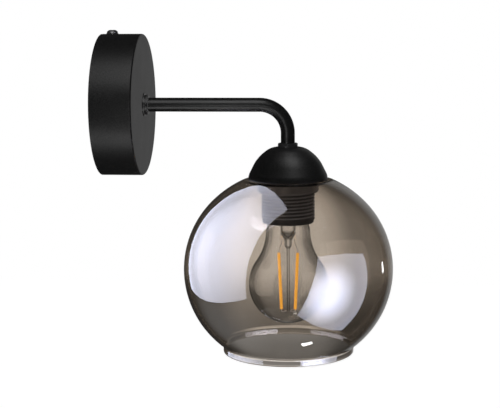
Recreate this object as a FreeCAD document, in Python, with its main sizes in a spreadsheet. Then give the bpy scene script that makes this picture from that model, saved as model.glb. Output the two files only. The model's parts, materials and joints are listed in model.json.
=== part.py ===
import FreeCAD, Part
import math
import os
import re
import Sketcher

# Globe wall sconce: a round wall canopy, a bent arm, a domed cap over an E27 holder,
# and a smoked globe clamped on the holder by a threaded ring. Millimetres.
# The origin is the centre of the canopy's back on the wall plane, X = 0.
# +X points out of the wall along the arm, and +Z points up.

Vector = FreeCAD.Vector
Rotation = FreeCAD.Rotation

# Driving sizes: name, value in millimetres (or a count), meaning
DRIVING_SIZES = (
    ("canopy_diameter", 101.0, "outer diameter of the wall canopy"),
    ("canopy_depth", 29.5, "how far the canopy stands out of the wall"),
    ("canopy_wall", 1.2, "sheet thickness of the canopy"),
    ("canopy_edge_round", 0.8, "rounding of the canopy's front edge"),
    ("strap_thickness", 1.5, "sheet thickness of the wall bracket"),
    ("strap_width", 14.0, "width of the bracket's strap and ears"),
    ("strap_hub_diameter", 32.0, "round middle of the bracket"),
    ("cable_hole_diameter", 14.0, "hole for the supply cable"),
    ("ear_gap", 0.45, "space between an ear's corners and the canopy"),
    ("ear_depth", 13.0, "how far the ears reach out of the wall"),
    ("slot_spacing", 60.0, "distance between the wall screw slots"),
    ("slot_length", 10.0, "overall length of a wall screw slot"),
    ("slot_width", 4.6, "width of a wall screw slot"),
    ("canopy_screw_diameter", 4.0, "thread of the canopy's screw"),
    ("canopy_screw_length", 8.0, "shank of the canopy's screw"),
    ("canopy_screw_place", 7.6, "distance of the canopy's screw from the wall"),
    ("screw_head_diameter", 7.8, "head of the canopy's screw"),
    ("screw_head_height", 2.3, "head height of the canopy's screw"),
    ("screw_head_rim", 1.0, "upright rim of that head below its dome"),
    ("screw_recess_width", 1.0, "width of each arm of the screw's cross recess"),
    ("screw_recess_length", 4.7, "length of each arm of the cross recess"),
    ("screw_recess_depth", 1.4, "depth of the cross recess"),
    ("screw_end_chamfer", 0.5, "chamfer on the ends of the screws"),
    ("screw_washer_diameter", 8.6, "washer under the canopy's screw"),
    ("screw_washer_thickness", 0.5, "thickness of that washer"),
    ("screw_play", 0.1, "radial play of a screw in its hole"),
    ("notch_play", 0.2, "space round the screw in the canopy's notch"),
    ("cutter_reach", 1.0, "how far a cutting outline stands out past the piece"),
    ("arm_diameter", 10.0, "outer diameter of the arm's tube"),
    ("arm_wall", 1.0, "wall of the arm's tube"),
    ("arm_overrun", 1.4, "how far the arm reaches behind its inner nut"),
    ("arm_end_gap", 1.2, "arm's lower end above the roof of the holder's cap"),
    ("lamp_axis", 132.8, "distance of the lamp's axis from the wall"),
    ("bend_radius", 20.0, "bend of the arm on its centre line"),
    ("nut_flats", 13.6, "across the flats of the M10 pipe nuts"),
    ("nut_thickness", 2.8, "thickness of the M10 pipe nuts"),
    ("nut_play", 0.05, "radial play of what sits on the arm's thread"),
    ("nut_chamfer_inset", 0.3, "where a nut's chamfer starts, inside its flats"),
    ("nut_chamfer_angle", 30.0, "slope of a nut's chamfer in degrees"),
    ("washer_diameter", 16.4, "washers on the arm"),
    ("washer_thickness", 0.8, "thickness of the washers on the arm"),
    ("tooth_count", 10, "gaps round the lock washer"),
    ("tooth_gap_width", 1.2, "width of each of those gaps"),
    ("tooth_gap_depth", 1.6, "depth of each of those gaps"),
    ("tag_thickness", 0.8, "sheet of the earth tag"),
    ("tag_gap", 1.2, "space between the inner nut and the earth tag's barrel"),
    ("tag_tongue_width", 4.8, "width of the earth tag's tongue"),
    ("tag_barrel_length", 6.0, "length of the earth tag's wire barrel"),
    ("block_length", 25.5, "terminal block along its three poles"),
    ("block_height", 18.0, "terminal block along its wires"),
    ("block_depth", 12.0, "terminal block from screws to back"),
    ("block_gap", 1.8, "space between the bracket's strap and the terminal block"),
    ("block_drop", 36.0, "from the arm's axis down to the block's lower side"),
    ("block_screw_spacing", 9.0, "distance between the two screws of a pole"),
    ("block_groove_width", 2.8, "groove across the block's back"),
    ("block_groove_depth", 1.5, "depth of that groove"),
    ("clamp_inset", 1.0, "how far the clamp tubes end inside the block"),
    ("clamp_diameter", 5.4, "brass clamp tubes of the terminal block"),
    ("clamp_bore", 3.4, "wire bore of a clamp tube"),
    ("terminal_screw_diameter", 3.0, "screws of the terminal block"),
    ("terminal_screw_inset", 0.8, "how deep those screws lie in their wells"),
    ("terminal_slot_width", 0.7, "width and depth of their slots"),
    ("screw_well_diameter", 4.0, "wells over those screws"),
    ("fit_play", 0.1, "play of small parts in their housings"),
    ("wire_diameter", 2.2, "insulated single wires"),
    ("wire_gap", 0.26, "space between the two wires in the arm"),
    ("wire_wall_gap", 0.7, "space from the wires to the tube's lower wall"),
    ("wire_entry", 8.0, "how deep a wire goes into the terminal block"),
    ("wire_turn_drop", 1.5, "where the wires part, below the tube's end"),
    ("wire_end_rise", 1.0, "middle of a wire's end above its terminal"),
    ("dome_top_drop", 30.0, "from the arm's axis down to the dome's crown"),
    ("dome_height", 23.1, "height of the domed cap"),
    ("dome_diameter", 56.6, "diameter of the domed cap's rim"),
    ("dome_flat_diameter", 26.0, "nearly flat crown of the domed cap"),
    ("dome_shoulder_inset", 5.7, "shoulder's place inside the rim"),
    ("dome_shoulder_drop", 7.7, "from the crown down to that shoulder"),
    ("dome_band", 2.7, "upright band along the dome's rim"),
    ("dome_crown_round", 10.0, "rounding at the crown"),
    ("dome_shoulder_round", 14.0, "rounding at the shoulder"),
    ("dome_band_round", 10.0, "rounding above the rim's band"),
    ("dome_wall", 1.2, "sheet thickness of the domed cap"),
    ("rim_gap", 0.3, "space between the dome's rim and the globe"),
    ("globe_diameter", 150.0, "widest outer diameter of the globe"),
    ("globe_flattening", 7.4, "how much lower than wide the globe's full oval is"),
    ("glass_thickness", 2.0, "wall of the globe"),
    ("seat_cut", 6.7, "how far the flat seat lies below the full oval's top"),
    ("seat_round", 6.0, "outer rounding between seat and globe"),
    ("glass_play", 0.95, "play of the globe round the ring thread"),
    ("mouth_diameter", 94.0, "outer diameter of the globe's mouth"),
    ("lip_height", 4.8, "straight lip round the mouth"),
    ("lip_round", 0.7, "fire polished edges of the lip"),
    ("neck_round", 1.6, "hollow corner where the lip leaves the globe"),
    ("thread_diameter", 38.5, "crests of the holder's ring thread"),
    ("thread_depth", 0.9, "depth of the ring thread"),
    ("thread_pitch", 2.4, "pitch of the ring thread"),
    ("thread_turns", 10.0, "turns of the ring thread"),
    ("thread_lead_in", 2.2, "plain end of the holder below its ring thread"),
    ("thread_play", 0.25, "play between the ring's thread and the holder's"),
    ("ridge_flank", 0.62, "height of one sloping flank of the ring thread"),
    ("ridge_crest", 0.38, "height of the ring thread's flat crest"),
    ("ridge_sink", 0.3, "how deep a ridge's foot stands in its wall"),
    ("ring_ridge_foot", 0.76, "height of the ring's own ridge at its wall"),
    ("ring_ridge_crest", 0.24, "height of that ridge at its crest"),
    ("ring_ridge_depth", 0.8, "depth of that ridge"),
    ("ring_thread_turns", 1.5, "turns of the ring's own ridge"),
    ("ring_thread_inset", 0.4, "least distance of that ridge from the ring's end"),
    ("skirt_length", 30.8, "holder below the globe's seat"),
    ("shell_gap", 0.6, "space round the screw shell in the holder"),
    ("skirt_flare", 1.1, "how much wider the holder's mouth is on each side"),
    ("skirt_mouth_depth", 8.0, "depth of that wider bore"),
    ("skirt_step", 1.0, "height of the slope between the two bores"),
    ("skirt_chamfer", 0.6, "chamfer at the end of the skirt"),
    ("flange_gap", 2.1, "space between the holder's flange and the dome"),
    ("flange_thickness", 2.3, "thickness of that flange"),
    ("collar_height", 4.2, "holder's collar above the flange"),
    ("collar_wall", 1.2, "wall of the holder's collar inside the cap"),
    ("ledge_depth", 3.2, "from the collar's top down to the shell's seat"),
    ("ledge_width", 0.6, "width of that seat"),
    ("cap_wall", 2.9, "wall of the holder's cap round the collar"),
    ("cap_neck_diameter", 17.0, "threaded neck of the holder's cap"),
    ("cap_roof", 9.0, "from the neck's top down to the wiring space"),
    ("cap_edge", 1.0, "upright edge of the cap's shoulder above that roof"),
    ("cap_slope", 2.5, "height of the sloping shoulder above that edge"),
    ("insert_height", 3.9, "ceramic insert of the holder"),
    ("lock_screw_diameter", 3.0, "set screw that locks the cap on the arm"),
    ("lock_screw_length", 3.2, "length of that set screw"),
    ("lock_screw_drop", 3.2, "set screw's place below the neck's top"),
    ("lock_slot_width", 0.6, "slot of the set screw"),
    ("lock_slot_depth", 0.8, "depth of that slot"),
    ("shell_wall", 0.4, "sheet of the holder's screw shell"),
    ("shell_length", 24.0, "length of the holder's screw shell"),
    ("lamp_thread_diameter", 26.4, "crests of the bulb's thread"),
    ("lamp_thread_depth", 1.05, "depth of the bulb's thread"),
    ("lamp_thread_pitch", 3.629, "pitch of the bulb's thread"),
    ("lamp_thread_turns", 4.5, "turns of the bulb's thread"),
    ("lamp_flank", 0.44, "height of one sloping flank of the bulb's thread"),
    ("lamp_crest", 0.5, "height of its flat crest"),
    ("shell_thread_inset", 1.2, "plain end of the screw shell"),
    ("lamp_thread_play", 0.3, "radial play of the bulb in the screw shell"),
    ("ring_wall", 2.4, "wall of the shade ring outside its thread"),
    ("ring_height", 6.8, "height of the shade ring"),
    ("ring_chamfer", 1.0, "chamfer of the ring's lower edge"),
    ("ring_gap", 0.1, "space between ring and glass"),
    ("bulb_diameter", 57.0, "widest diameter of the bulb"),
    ("bulb_length", 106.0, "overall length of the bulb with its cap"),
    ("neck_flare", 2.3, "how much wider the bulb's neck is than its cap on each side"),
    ("bulb_shoulder_radius", 40.0, "hollow shoulder of the bulb"),
    ("bulb_neck_reach", 1.0, "least length of the bulb's neck below the holder"),
    ("bulb_wall", 0.9, "glass of the bulb"),
    ("glass_in_cap", 2.0, "how far the bulb's glass reaches into its cap"),
    ("glass_step", 0.3, "straight glass below the cap"),
    ("lamp_cap_length", 26.5, "bulb's metal cap with its tip"),
    ("lamp_cap_rim_step", 0.3, "rim of the bulb's cap outside its thread"),
    ("lamp_cap_rim_length", 3.5, "length of that rim"),
    ("lamp_cap_slope", 2.0, "height of the slope from the rim to the thread"),
    ("lamp_tip_diameter", 9.8, "bulb's centre contact"),
    ("lamp_tip_height", 1.5, "height of the bulb's centre contact"),
    ("lamp_tip_edge", 0.5, "upright edge of that contact"),
    ("insulator_nose", 0.8, "width of the black ledge round the tip"),
    ("insulator_height", 3.4, "black cone between the tip and the bulb's cap"),
    ("insulator_plug", 1.2, "part of that cone inside the cap"),
    ("contact_drop", 1.8, "from the insert's underside down to the bulb's tip"),
    ("contact_gap", 0.2, "space between the bulb's tip and the holder's contact"),
    ("filament_diameter", 2.2, "light rods of the bulb"),
    ("filament_end_rise", 9.5, "rods' lower ends above the bulb's end"),
    ("filament_drop", 41.5, "height of the rods"),
    ("filament_top_spread", 6.8, "rods' distance from the lamp's axis at the top"),
    ("filament_bottom_spread", 5.0, "the same distance at the bottom"),
    ("board_width", 16.0, "circuit board in the bulb's cap"),
    ("board_thickness", 1.2, "thickness of that board"),
    ("board_end_space", 2.5, "board's lower end above the cap's end"),
    ("board_gap", 0.3, "space above the board"),
    ("coil_width", 7.0, "coil on the board"),
    ("coil_height", 6.0, "height of that coil"),
    ("coil_reach", 4.2, "how far the coil stands out from the board's middle"),
    ("coil_inset", 2.0, "coil's place from the board's left and upper edges"),
    ("stem_tube_diameter", 6.0, "glass stem of the bulb"),
    ("stem_to_rods", 7.0, "from the stem's end down to the rods' tops"),
    ("stem_top_gap", 0.6, "stem's flare above the cap's end"),
    ("stem_flare_diameter", 23.2, "wide top of the stem"),
    ("stem_flare_height", 5.0, "height of that flare"),
    ("stem_pinch_diameter", 7.6, "flattened end of the stem"),
    ("stem_pinch_length", 3.0, "length of that flattened end"),
    ("stem_pinch_slope", 2.0, "slope from the stem's tube to that end"),
    ("stem_rod_diameter", 1.8, "thin glass rod below the stem"),
    ("stem_rod_shoulder", 1.0, "slope from the flattened end to that rod"),
    ("stem_rod_overrun", 1.5, "rod's reach below the light rods"),
    ("stem_rod_tip", 0.9, "rod's rounded end"),
    ("lead_diameter", 0.7, "lead wires in the bulb"),
    ("lead_root_spread", 4.3, "lead wires at the stem, from the lamp's axis"),
    ("lead_spread", 4.7, "the same at the stem's end"),
    ("lead_run", 2.2, "straight wire above and below a light rod"),
    ("lead_gap", 0.02, "space between a wire's end and its rod"),
    ("lead_rise", 1.0, "how far a lower wire rises again to the glass rod"),
    ("insert_rivet_place", 6.5, "rivet of the centre contact, from the lamp's axis"),
    ("insert_rivet_diameter", 3.0, "hole of that rivet in the insert"),
    ("rivet_head", 0.6, "rivet's stand above and below the insert"),
    ("leaf_width", 5.0, "width of the contact's leaf"),
    ("leaf_foot_length", 4.4, "leaf round its rivet"),
    ("leaf_tip_length", 4.2, "leaf under the bulb's tip"),
    ("leaf_gap", 0.05, "space between leaf and insert"),
    ("terminal_spread", 8.0, "holder's terminals, from the lamp's axis"),
    ("terminal_length", 6.0, "holder's terminals along the arm"),
    ("terminal_width", 5.0, "holder's terminals across the arm"),
)

# Sizes worked out from the driving ones, by name
DERIVED_SIZES = {
    "canopy_bore": "canopy_diameter - 2 * canopy_wall",
    "canopy_inner_front": "canopy_depth - canopy_wall",
    "ear_top": "(sqrt(pow(canopy_bore; 2) - pow(strap_width; 2)) / 2 - ear_gap)",
    "screw_seat": "canopy_diameter / 2",
    "screw_hole": "canopy_screw_diameter + 2 * screw_play",
    "screw_end": "screw_washer_thickness - canopy_screw_length",
    "screw_top": "screw_washer_thickness + screw_head_height",
    "notch_half": "(canopy_screw_diameter / 2 + notch_play)",
    "tag_place": "canopy_inner_front - washer_thickness - tag_thickness",
    "inner_nut_place": "tag_place - nut_thickness",
    "arm_bore": "arm_diameter - 2 * arm_wall",
    "arm_start": "inner_nut_place - arm_overrun",
    "bend_start": "lamp_axis - bend_radius",
    "thread_hole": "arm_diameter + 2 * nut_play",
    "nut_corners": "nut_flats / cos(30)",
    "nut_chamfer_start": "nut_flats / 2 - nut_chamfer_inset",
    "nut_chamfer_end": "nut_corners / 2 + nut_chamfer_inset",
    "nut_chamfer_rise": "(nut_chamfer_end - nut_chamfer_start) * tan(nut_chamfer_angle)",
    "tag_ring_middle": "(washer_diameter + thread_hole) / 4",
    "tag_bore": "wire_diameter + 2 * nut_play",
    "tag_barrel_diameter": "tag_bore + 2 * tag_thickness",
    "tag_length": "nut_corners / 2 + tag_gap + (tag_barrel_diameter) / 2",
    "dome_shoulder_diameter": "dome_diameter - 2 * dome_shoulder_inset",
    "dome_rim_drop": "dome_top_drop + dome_height",
    "seat_drop": "dome_rim_drop + rim_gap",
    "glass_under_drop": "seat_drop + glass_thickness",
    "globe_height": "globe_diameter - globe_flattening",
    "seat_to_equator": "globe_height / 2 - seat_cut",
    "globe_centre_drop": "seat_drop + seat_to_equator",
    "oval_shift": "(globe_diameter - globe_height) / 2 / (2 - sqrt(2))",
    "side_radius": "globe_diameter / 2 - oval_shift",
    "pole_radius": "globe_height / 2 + oval_shift",
    "shade_hole": "thread_diameter + 2 * glass_play",
    "thread_root": "thread_diameter - 2 * thread_depth",
    "skirt_end_drop": "seat_drop + skirt_length",
    "ring_top_drop": "glass_under_drop + ring_gap",
    "ring_end_drop": "ring_top_drop + ring_height",
    "thread_foot": "(thread_lead_in - skirt_end_drop)",
    "ridge_height": "2 * ridge_flank + ridge_crest",
    "ring_bore": "thread_diameter + 2 * thread_play",
    "ring_room": "ring_thread_inset - ring_end_drop - thread_foot - ridge_height",
    "ring_ridge_level": "thread_foot + (thread_pitch + ridge_height) / 2"
    " + thread_pitch * ceil((ring_room) / thread_pitch)",
    "flange_diameter": "dome_diameter - 2 * (dome_wall + flange_gap)",
    "flange_top_drop": "seat_drop - flange_thickness",
    "collar_top_drop": "flange_top_drop - collar_height",
    "ledge_drop": "collar_top_drop + ledge_depth",
    "insert_bottom_drop": "ledge_drop - shell_wall",
    "insert_top_drop": "insert_bottom_drop - insert_height",
    "cap_top_drop": "dome_top_drop + dome_wall",
    "cap_roof_drop": "(cap_top_drop + cap_roof)",
    "arm_drop": "cap_roof_drop - arm_end_gap",
    "lock_screw_level": "-cap_top_drop - lock_screw_drop",
    "shell_end_drop": "(ledge_drop + shell_length)",
    "shell_thread_foot": "(shell_thread_inset - shell_end_drop)",
    "lamp_tip_drop": "insert_bottom_drop + contact_drop",
    "bulb_drop": "lamp_tip_drop + bulb_length",
    "lamp_tip_base_drop": "lamp_tip_drop + lamp_tip_height",
    "insulator_edge_drop": "lamp_tip_base_drop + insulator_height",
    "insulator_end_drop": "insulator_edge_drop + insulator_plug",
    "lamp_cap_end_drop": "lamp_tip_drop + lamp_cap_length",
    "lamp_root": "lamp_thread_diameter - 2 * lamp_thread_depth",
    "shell_bore": "lamp_thread_diameter + 2 * lamp_thread_play",
    "skirt_bore": "(shell_bore + 2 * (shell_wall + shell_gap))",
    "skirt_mouth_bore": "skirt_bore + 2 * skirt_flare",
    "ledge_diameter": "(skirt_bore + 2 * ledge_width)",
    "collar_diameter": "(ledge_diameter + 2 * collar_wall)",
    "holder_cap_diameter": "collar_diameter + 2 * (fit_play + cap_wall)",
    "ring_diameter": "(ring_bore + 2 * ring_wall)",
    "lamp_cap_rim_diameter": "(lamp_thread_diameter + 2 * lamp_cap_rim_step)",
    "bulb_neck_diameter": "(lamp_cap_rim_diameter + 2 * neck_flare)",
    "bulb_centre_drop": "bulb_drop - bulb_diameter / 2",
    "shoulder_room": "(bulb_centre_drop - skirt_end_drop - bulb_neck_reach)",
    "shoulder_limit": "(pow(shoulder_room; 2) + pow(bulb_neck_diameter / 2; 2) - pow(bulb_diameter / 2; 2))"
    " / (bulb_diameter - bulb_neck_diameter)",
    "shoulder_hollow": "min(bulb_shoulder_radius; shoulder_limit)",
    "shoulder_reach": "bulb_neck_diameter / 2 + shoulder_hollow",
    "shoulder_span": "bulb_diameter / 2 + shoulder_hollow",
    "shoulder_rise": "sqrt(pow(shoulder_span; 2) - pow(shoulder_reach; 2))",
    "filament_bottom_drop": "bulb_drop - filament_end_rise",
    "filament_top_drop": "filament_bottom_drop - filament_drop",
    "stem_end_drop": "filament_top_drop - stem_to_rods",
    "block_top_drop": "block_drop - block_height",
    "block_from_wall": "(strap_thickness + block_gap)",
    "block_wire_x": "block_from_wall + block_depth / 2",
    "pole_pitch": "block_length / 3",
    "screw_well_depth": "block_depth / 2",
    "terminal_screw_length": "block_depth / 2 - terminal_screw_inset - wire_diameter / 2 - fit_play",
    "wire_offset": "arm_bore / 2 - wire_diameter / 2 - wire_wall_gap",
    "wire_level": "(-block_top_drop - wire_entry)",
}

SIZE_NAMES = {name for name, value, meaning in DRIVING_SIZES}

# A half circle is drawn a hair too large, because its exact radius has no solution
HALF_CIRCLE = "1.0001"

document = FreeCAD.newDocument("GlobeWallSconce")
sheet = document.addObject("Spreadsheet::Sheet", "Sizes")
for row, (name, value, meaning) in enumerate(DRIVING_SIZES, start=1):
    sheet.set(f"A{row}", name)
    sheet.set(f"B{row}", str(value))
    sheet.set(f"C{row}", meaning)
    sheet.setAlias(f"B{row}", name)
document.recompute()


def linked(formula):
    """The formula with each size's name replaced by its cell, or by its own formula."""

    def one(word):
        if word[0] in SIZE_NAMES:
            return f"Sizes.{word[0]}"
        if word[0] in DERIVED_SIZES:
            return f"({linked(DERIVED_SIZES[word[0]])})"
        return word[0]

    return re.sub(r"[a-z][a-z_]+", one, str(formula))


def size(formula):
    """The formula's value in millimetres."""
    return float(sheet.evalExpression(linked(formula)))


# Building helpers

parts = []


def register(thing, label):
    """Labels a finished sub-part and adds it to the list of parts."""
    thing.Label = label
    parts.append(thing)
    return thing


def new_body(label):
    """An empty body that becomes the sub-part of that label."""
    return register(document.addObject("PartDesign::Body", f"{label}_body"), label)


def sketch_in(body, plane, lift="0"):
    """A sketch on one of the body's own origin planes, lifted along the plane's normal."""
    sketch = body.newObject("Sketcher::SketchObject", f"{body.Label}_sketch")
    sketch.AttachmentSupport = [(next(f for f in body.Origin.OriginFeatures if f.Role == plane), "")]
    sketch.MapMode = "FlatFace"
    sketch.setExpression("AttachmentOffset.Base.z", linked(lift))
    return sketch


def bind(sketch, kind, where, formula):
    """Adds one dimension to a sketch and binds it to its formula."""
    index = sketch.addConstraint(Sketcher.Constraint(kind, *where, size(formula)))
    sketch.setExpression(f"Constraints[{index}]", linked(formula))


def draw(sketch, corners, arcs=None, closed=True):
    """Lines through the corners, given as pairs of formulas.

    arcs gives an edge's number, its radius and its side: 1 bulges to the right of the way
    along the edge, and -1 to the left."""
    arcs = arcs or {}
    first = sketch.GeometryCount
    points = [Vector(size(across), size(up), 0) for across, up in corners]
    edges = len(points) if closed else len(points) - 1
    for edge in range(edges):
        start, end = points[edge], points[(edge + 1) % len(points)]
        if edge in arcs:
            radius, side = size(arcs[edge][0]), arcs[edge][1]
            chord = end - start
            right = Vector(chord.y, -chord.x, 0).normalize() * side
            sagitta = radius - math.sqrt(radius**2 - (chord.Length / 2) ** 2)
            sketch.addGeometry(Part.Arc(start, (start + end) / 2 + right * sagitta, end), False)
        else:
            sketch.addGeometry(Part.LineSegment(start, end), False)
    # An arc's own first point is its clockwise end, so each corner is found by its place
    corner_of = {}
    for edge in range(edges):
        for end_number in (1, 2):
            point = sketch.getPoint(first + edge, end_number)
            corner = min(range(len(points)), key=lambda k: (points[k] - point).Length)
            corner_of.setdefault(corner, []).append((first + edge, end_number))
    for corner, ends in corner_of.items():
        if len(ends) == 2:
            sketch.addConstraint(Sketcher.Constraint("Coincident", *ends[0], *ends[1]))
        bind(sketch, "DistanceX", (-1, 1, *ends[0]), corners[corner][0])
        bind(sketch, "DistanceY", (-1, 1, *ends[0]), corners[corner][1])
    for edge, (radius, side) in arcs.items():
        bind(sketch, "Radius", (first + edge,), radius)


def draw_circle(sketch, across, up, diameter):
    """A circle whose centre and diameter are formulas."""
    edge = sketch.GeometryCount
    circle = Part.Circle(Vector(size(across), size(up), 0), Vector(0, 0, 1), size(diameter) / 2)
    sketch.addGeometry(circle, False)
    bind(sketch, "DistanceX", (-1, 1, edge, 3), across)
    bind(sketch, "DistanceY", (-1, 1, edge, 3), up)
    bind(sketch, "Radius", (edge,), f"({diameter}) / 2")


def turned(body, corners, arcs=None, cut=False):
    """Turns an outline of radius and height round the body's Z axis, added or cut."""
    sketch = sketch_in(body, "XZ_Plane")
    draw(sketch, corners, arcs)
    kind = "PartDesign::Groove" if cut else "PartDesign::Revolution"
    feature = body.newObject(kind, f"{body.Label}_turned")
    feature.Profile = sketch
    feature.ReferenceAxis = (sketch, ["V_Axis"])
    feature.Angle = 360
    document.recompute()
    return feature


def pushed(body, sketch, length, cut=False, backwards=False, both=False):
    """Pads a sketch, or cuts it out, by a length along the sketch's normal."""
    kind = "PartDesign::Pocket" if cut else "PartDesign::Pad"
    before = body.Shape.Volume if cut else 0.0
    feature = body.newObject(kind, f"{body.Label}_pushed")
    feature.Profile = sketch
    feature.setExpression("Length", linked(length))
    feature.Reversed = backwards
    feature.SideType = "Symmetric" if both else "One side"
    document.recompute()
    if cut and not body.Shape.Volume < before - 1e-6:
        raise ValueError(f"{body.Label}: a cut took nothing away")
    return feature


def threaded(body, corners, pitch, turns):
    """Winds an outline of radius and height up the body's Z axis as a right-hand ridge."""
    sketch = sketch_in(body, "XZ_Plane")
    draw(sketch, corners)
    ridge = body.newObject("PartDesign::AdditiveHelix", f"{body.Label}_ridge")
    ridge.Profile = sketch
    ridge.ReferenceAxis = (sketch, ["V_Axis"])
    ridge.Mode = 0
    ridge.setExpression("Pitch", linked(pitch))
    ridge.setExpression("Height", linked(f"{pitch} * {turns}"))
    ridge.Angle = 0
    document.recompute()
    return ridge


def ridge(base, flank, crest, foot, slope, flat):
    """Outline of one ridge: its base in the wall, two slopes and a flat crest."""
    return (
        (base, foot),
        (flank, foot),
        (crest, f"{foot} + {slope}"),
        (crest, f"{foot} + {slope} + {flat}"),
        (flank, f"{foot} + 2 * {slope} + {flat}"),
        (base, f"{foot} + 2 * {slope} + {flat}"),
    )


def rims(body, *wanted):
    """Names of the circular edges with the wanted radius and height formulas."""
    names = []
    for radius, height in wanted:
        found = [
            f"Edge{number}"
            for number, edge in enumerate(body.Shape.Edges, start=1)
            if isinstance(edge.Curve, Part.Circle)
            and abs(edge.Curve.Radius - size(radius)) < 1e-3
            and abs(edge.Curve.Center.z - size(height)) < 1e-3
        ]
        if not found:
            raise ValueError(f"{body.Label}: no edge of radius {radius} at {height}")
        names += found
    return names


def dressed(body, kind, amount, edges):
    """A fillet or a chamfer of that amount along named edges of the body's last feature."""
    feature = body.newObject(f"PartDesign::{kind}", f"{body.Label}_{kind.lower()}")
    feature.Base = (body.Tip if body.Tip != feature else feature.BaseFeature, edges)
    feature.setExpression("Radius" if kind == "Fillet" else "Size", linked(amount))
    document.recompute()
    return feature


def place(thing, across="0", side="0", up="0", lying=False):
    """Moves a sub-part; a lying one turns its Z axis to the arm's +X."""
    turn = Rotation(Vector(0, 1, 0), 90) if lying else Rotation()
    thing.Placement = FreeCAD.Placement(Vector(0, 0, 0), turn)
    for axis, formula in zip("xyz", (across, side, up)):
        thing.setExpression(f"Placement.Base.{axis}", linked(formula))


def hexagon(flats, corners):
    """Corners of a hexagon with one corner towards each side of the lamp."""
    return (
        ("0", f"{corners} / 2"),
        (f"-{flats} / 2", f"{corners} / 4"),
        (f"-{flats} / 2", f"-{corners} / 4"),
        ("0", f"-{corners} / 2"),
        (f"{flats} / 2", f"-{corners} / 4"),
        (f"{flats} / 2", f"{corners} / 4"),
    )


def rectangle(left, low, right, high):
    """Corners of a rectangle."""
    return ((left, low), (right, low), (right, high), (left, high))


def flat_ring(body, outer, inner, thickness):
    """A flat ring at the body's origin."""
    ring = sketch_in(body, "XY_Plane")
    draw_circle(ring, "0", "0", outer)
    draw_circle(ring, "0", "0", inner)
    pushed(body, ring, thickness)


# Wall bracket: strap, round hub with the cable hole, two ears and two slots


def make_wall_bracket():
    body = new_body("wall_bracket")
    strap = sketch_in(body, "YZ_Plane")
    draw(strap, rectangle("-strap_width / 2", "-ear_top", "strap_width / 2", "ear_top"))
    pushed(body, strap, "strap_thickness")
    hub = sketch_in(body, "YZ_Plane")
    draw_circle(hub, "0", "0", "strap_hub_diameter")
    pushed(body, hub, "strap_thickness")
    for low, top in (("ear_top - strap_thickness", "ear_top"), ("-ear_top", "strap_thickness - ear_top")):
        ear = sketch_in(body, "YZ_Plane")
        draw(ear, rectangle("-strap_width / 2", low, "strap_width / 2", top))
        pushed(body, ear, "ear_depth")
    holes = sketch_in(body, "YZ_Plane")
    draw_circle(holes, "0", "0", "cable_hole_diameter")
    straight = "(slot_length - slot_width) / 2"
    end = (f"slot_width / 2 * {HALF_CIRCLE}", 1)
    for middle in ("slot_spacing / 2", "-slot_spacing / 2"):
        low, top = f"{middle} - {straight}", f"{middle} + {straight}"
        draw(holes, rectangle("-slot_width / 2", low, "slot_width / 2", top), arcs={0: end, 2: end})
    pushed(body, holes, "strap_thickness", cut=True, backwards=True)
    screw_hole = sketch_in(body, "XY_Plane", "ear_top - strap_thickness")
    draw_circle(screw_hole, "canopy_screw_place", "0", "screw_hole")
    pushed(body, screw_hole, "strap_thickness", cut=True, backwards=True)
    place(body)


# Canopy: a shallow cup with the arm's hole and an open notch for its screw


def make_canopy():
    body = new_body("canopy")
    outer, inner = "canopy_diameter / 2", "canopy_bore / 2"
    turned(
        body,
        (
            ("thread_hole / 2", "canopy_depth"),
            ("thread_hole / 2", "canopy_inner_front"),
            (inner, "canopy_inner_front"),
            (inner, "0"),
            (outer, "0"),
            (outer, "canopy_depth"),
        ),
    )
    dressed(body, "Fillet", "canopy_edge_round", rims(body, (outer, "canopy_depth")))
    # In the lying cup the top of the canopy is the side of its own -X axis
    notch = sketch_in(body, "YZ_Plane")
    outline = rectangle("-notch_half", "-cutter_reach", "notch_half", "canopy_screw_place")
    draw(notch, outline, arcs={2: (f"notch_half * {HALF_CIRCLE}", 1)})
    pushed(body, notch, "canopy_diameter", cut=True)
    place(body, lying=True)


# Canopy screw and its washer: they stand on the canopy's top


def make_canopy_screw():
    body = new_body("canopy_screw")
    turned(
        body,
        (
            ("0", "screw_end"),
            ("canopy_screw_diameter / 2 - screw_end_chamfer", "screw_end"),
            ("canopy_screw_diameter / 2", "screw_end + screw_end_chamfer"),
            ("canopy_screw_diameter / 2", "screw_washer_thickness"),
            ("screw_head_diameter / 2", "screw_washer_thickness"),
            ("screw_head_diameter / 2", "screw_washer_thickness + screw_head_rim"),
            ("screw_head_diameter / 4", "screw_top"),
            ("0", "screw_top"),
        ),
        arcs={5: ("screw_head_diameter / 2", 1)},
    )
    for wide, high in (
        ("screw_recess_length", "screw_recess_width"),
        ("screw_recess_width", "screw_recess_length"),
    ):
        recess = sketch_in(body, "XY_Plane", "screw_top")
        draw(recess, rectangle(f"-{wide} / 2", f"-{high} / 2", f"{wide} / 2", f"{high} / 2"))
        pushed(body, recess, "screw_recess_depth", cut=True)
    place(body, across="canopy_screw_place", up="screw_seat")


def make_canopy_screw_washer():
    body = new_body("canopy_screw_washer")
    flat_ring(body, "screw_washer_diameter", "screw_hole", "screw_washer_thickness")
    place(body, across="canopy_screw_place", up="screw_seat")


# Arm: one bent tube from inside the canopy to the holder's cap


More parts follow.
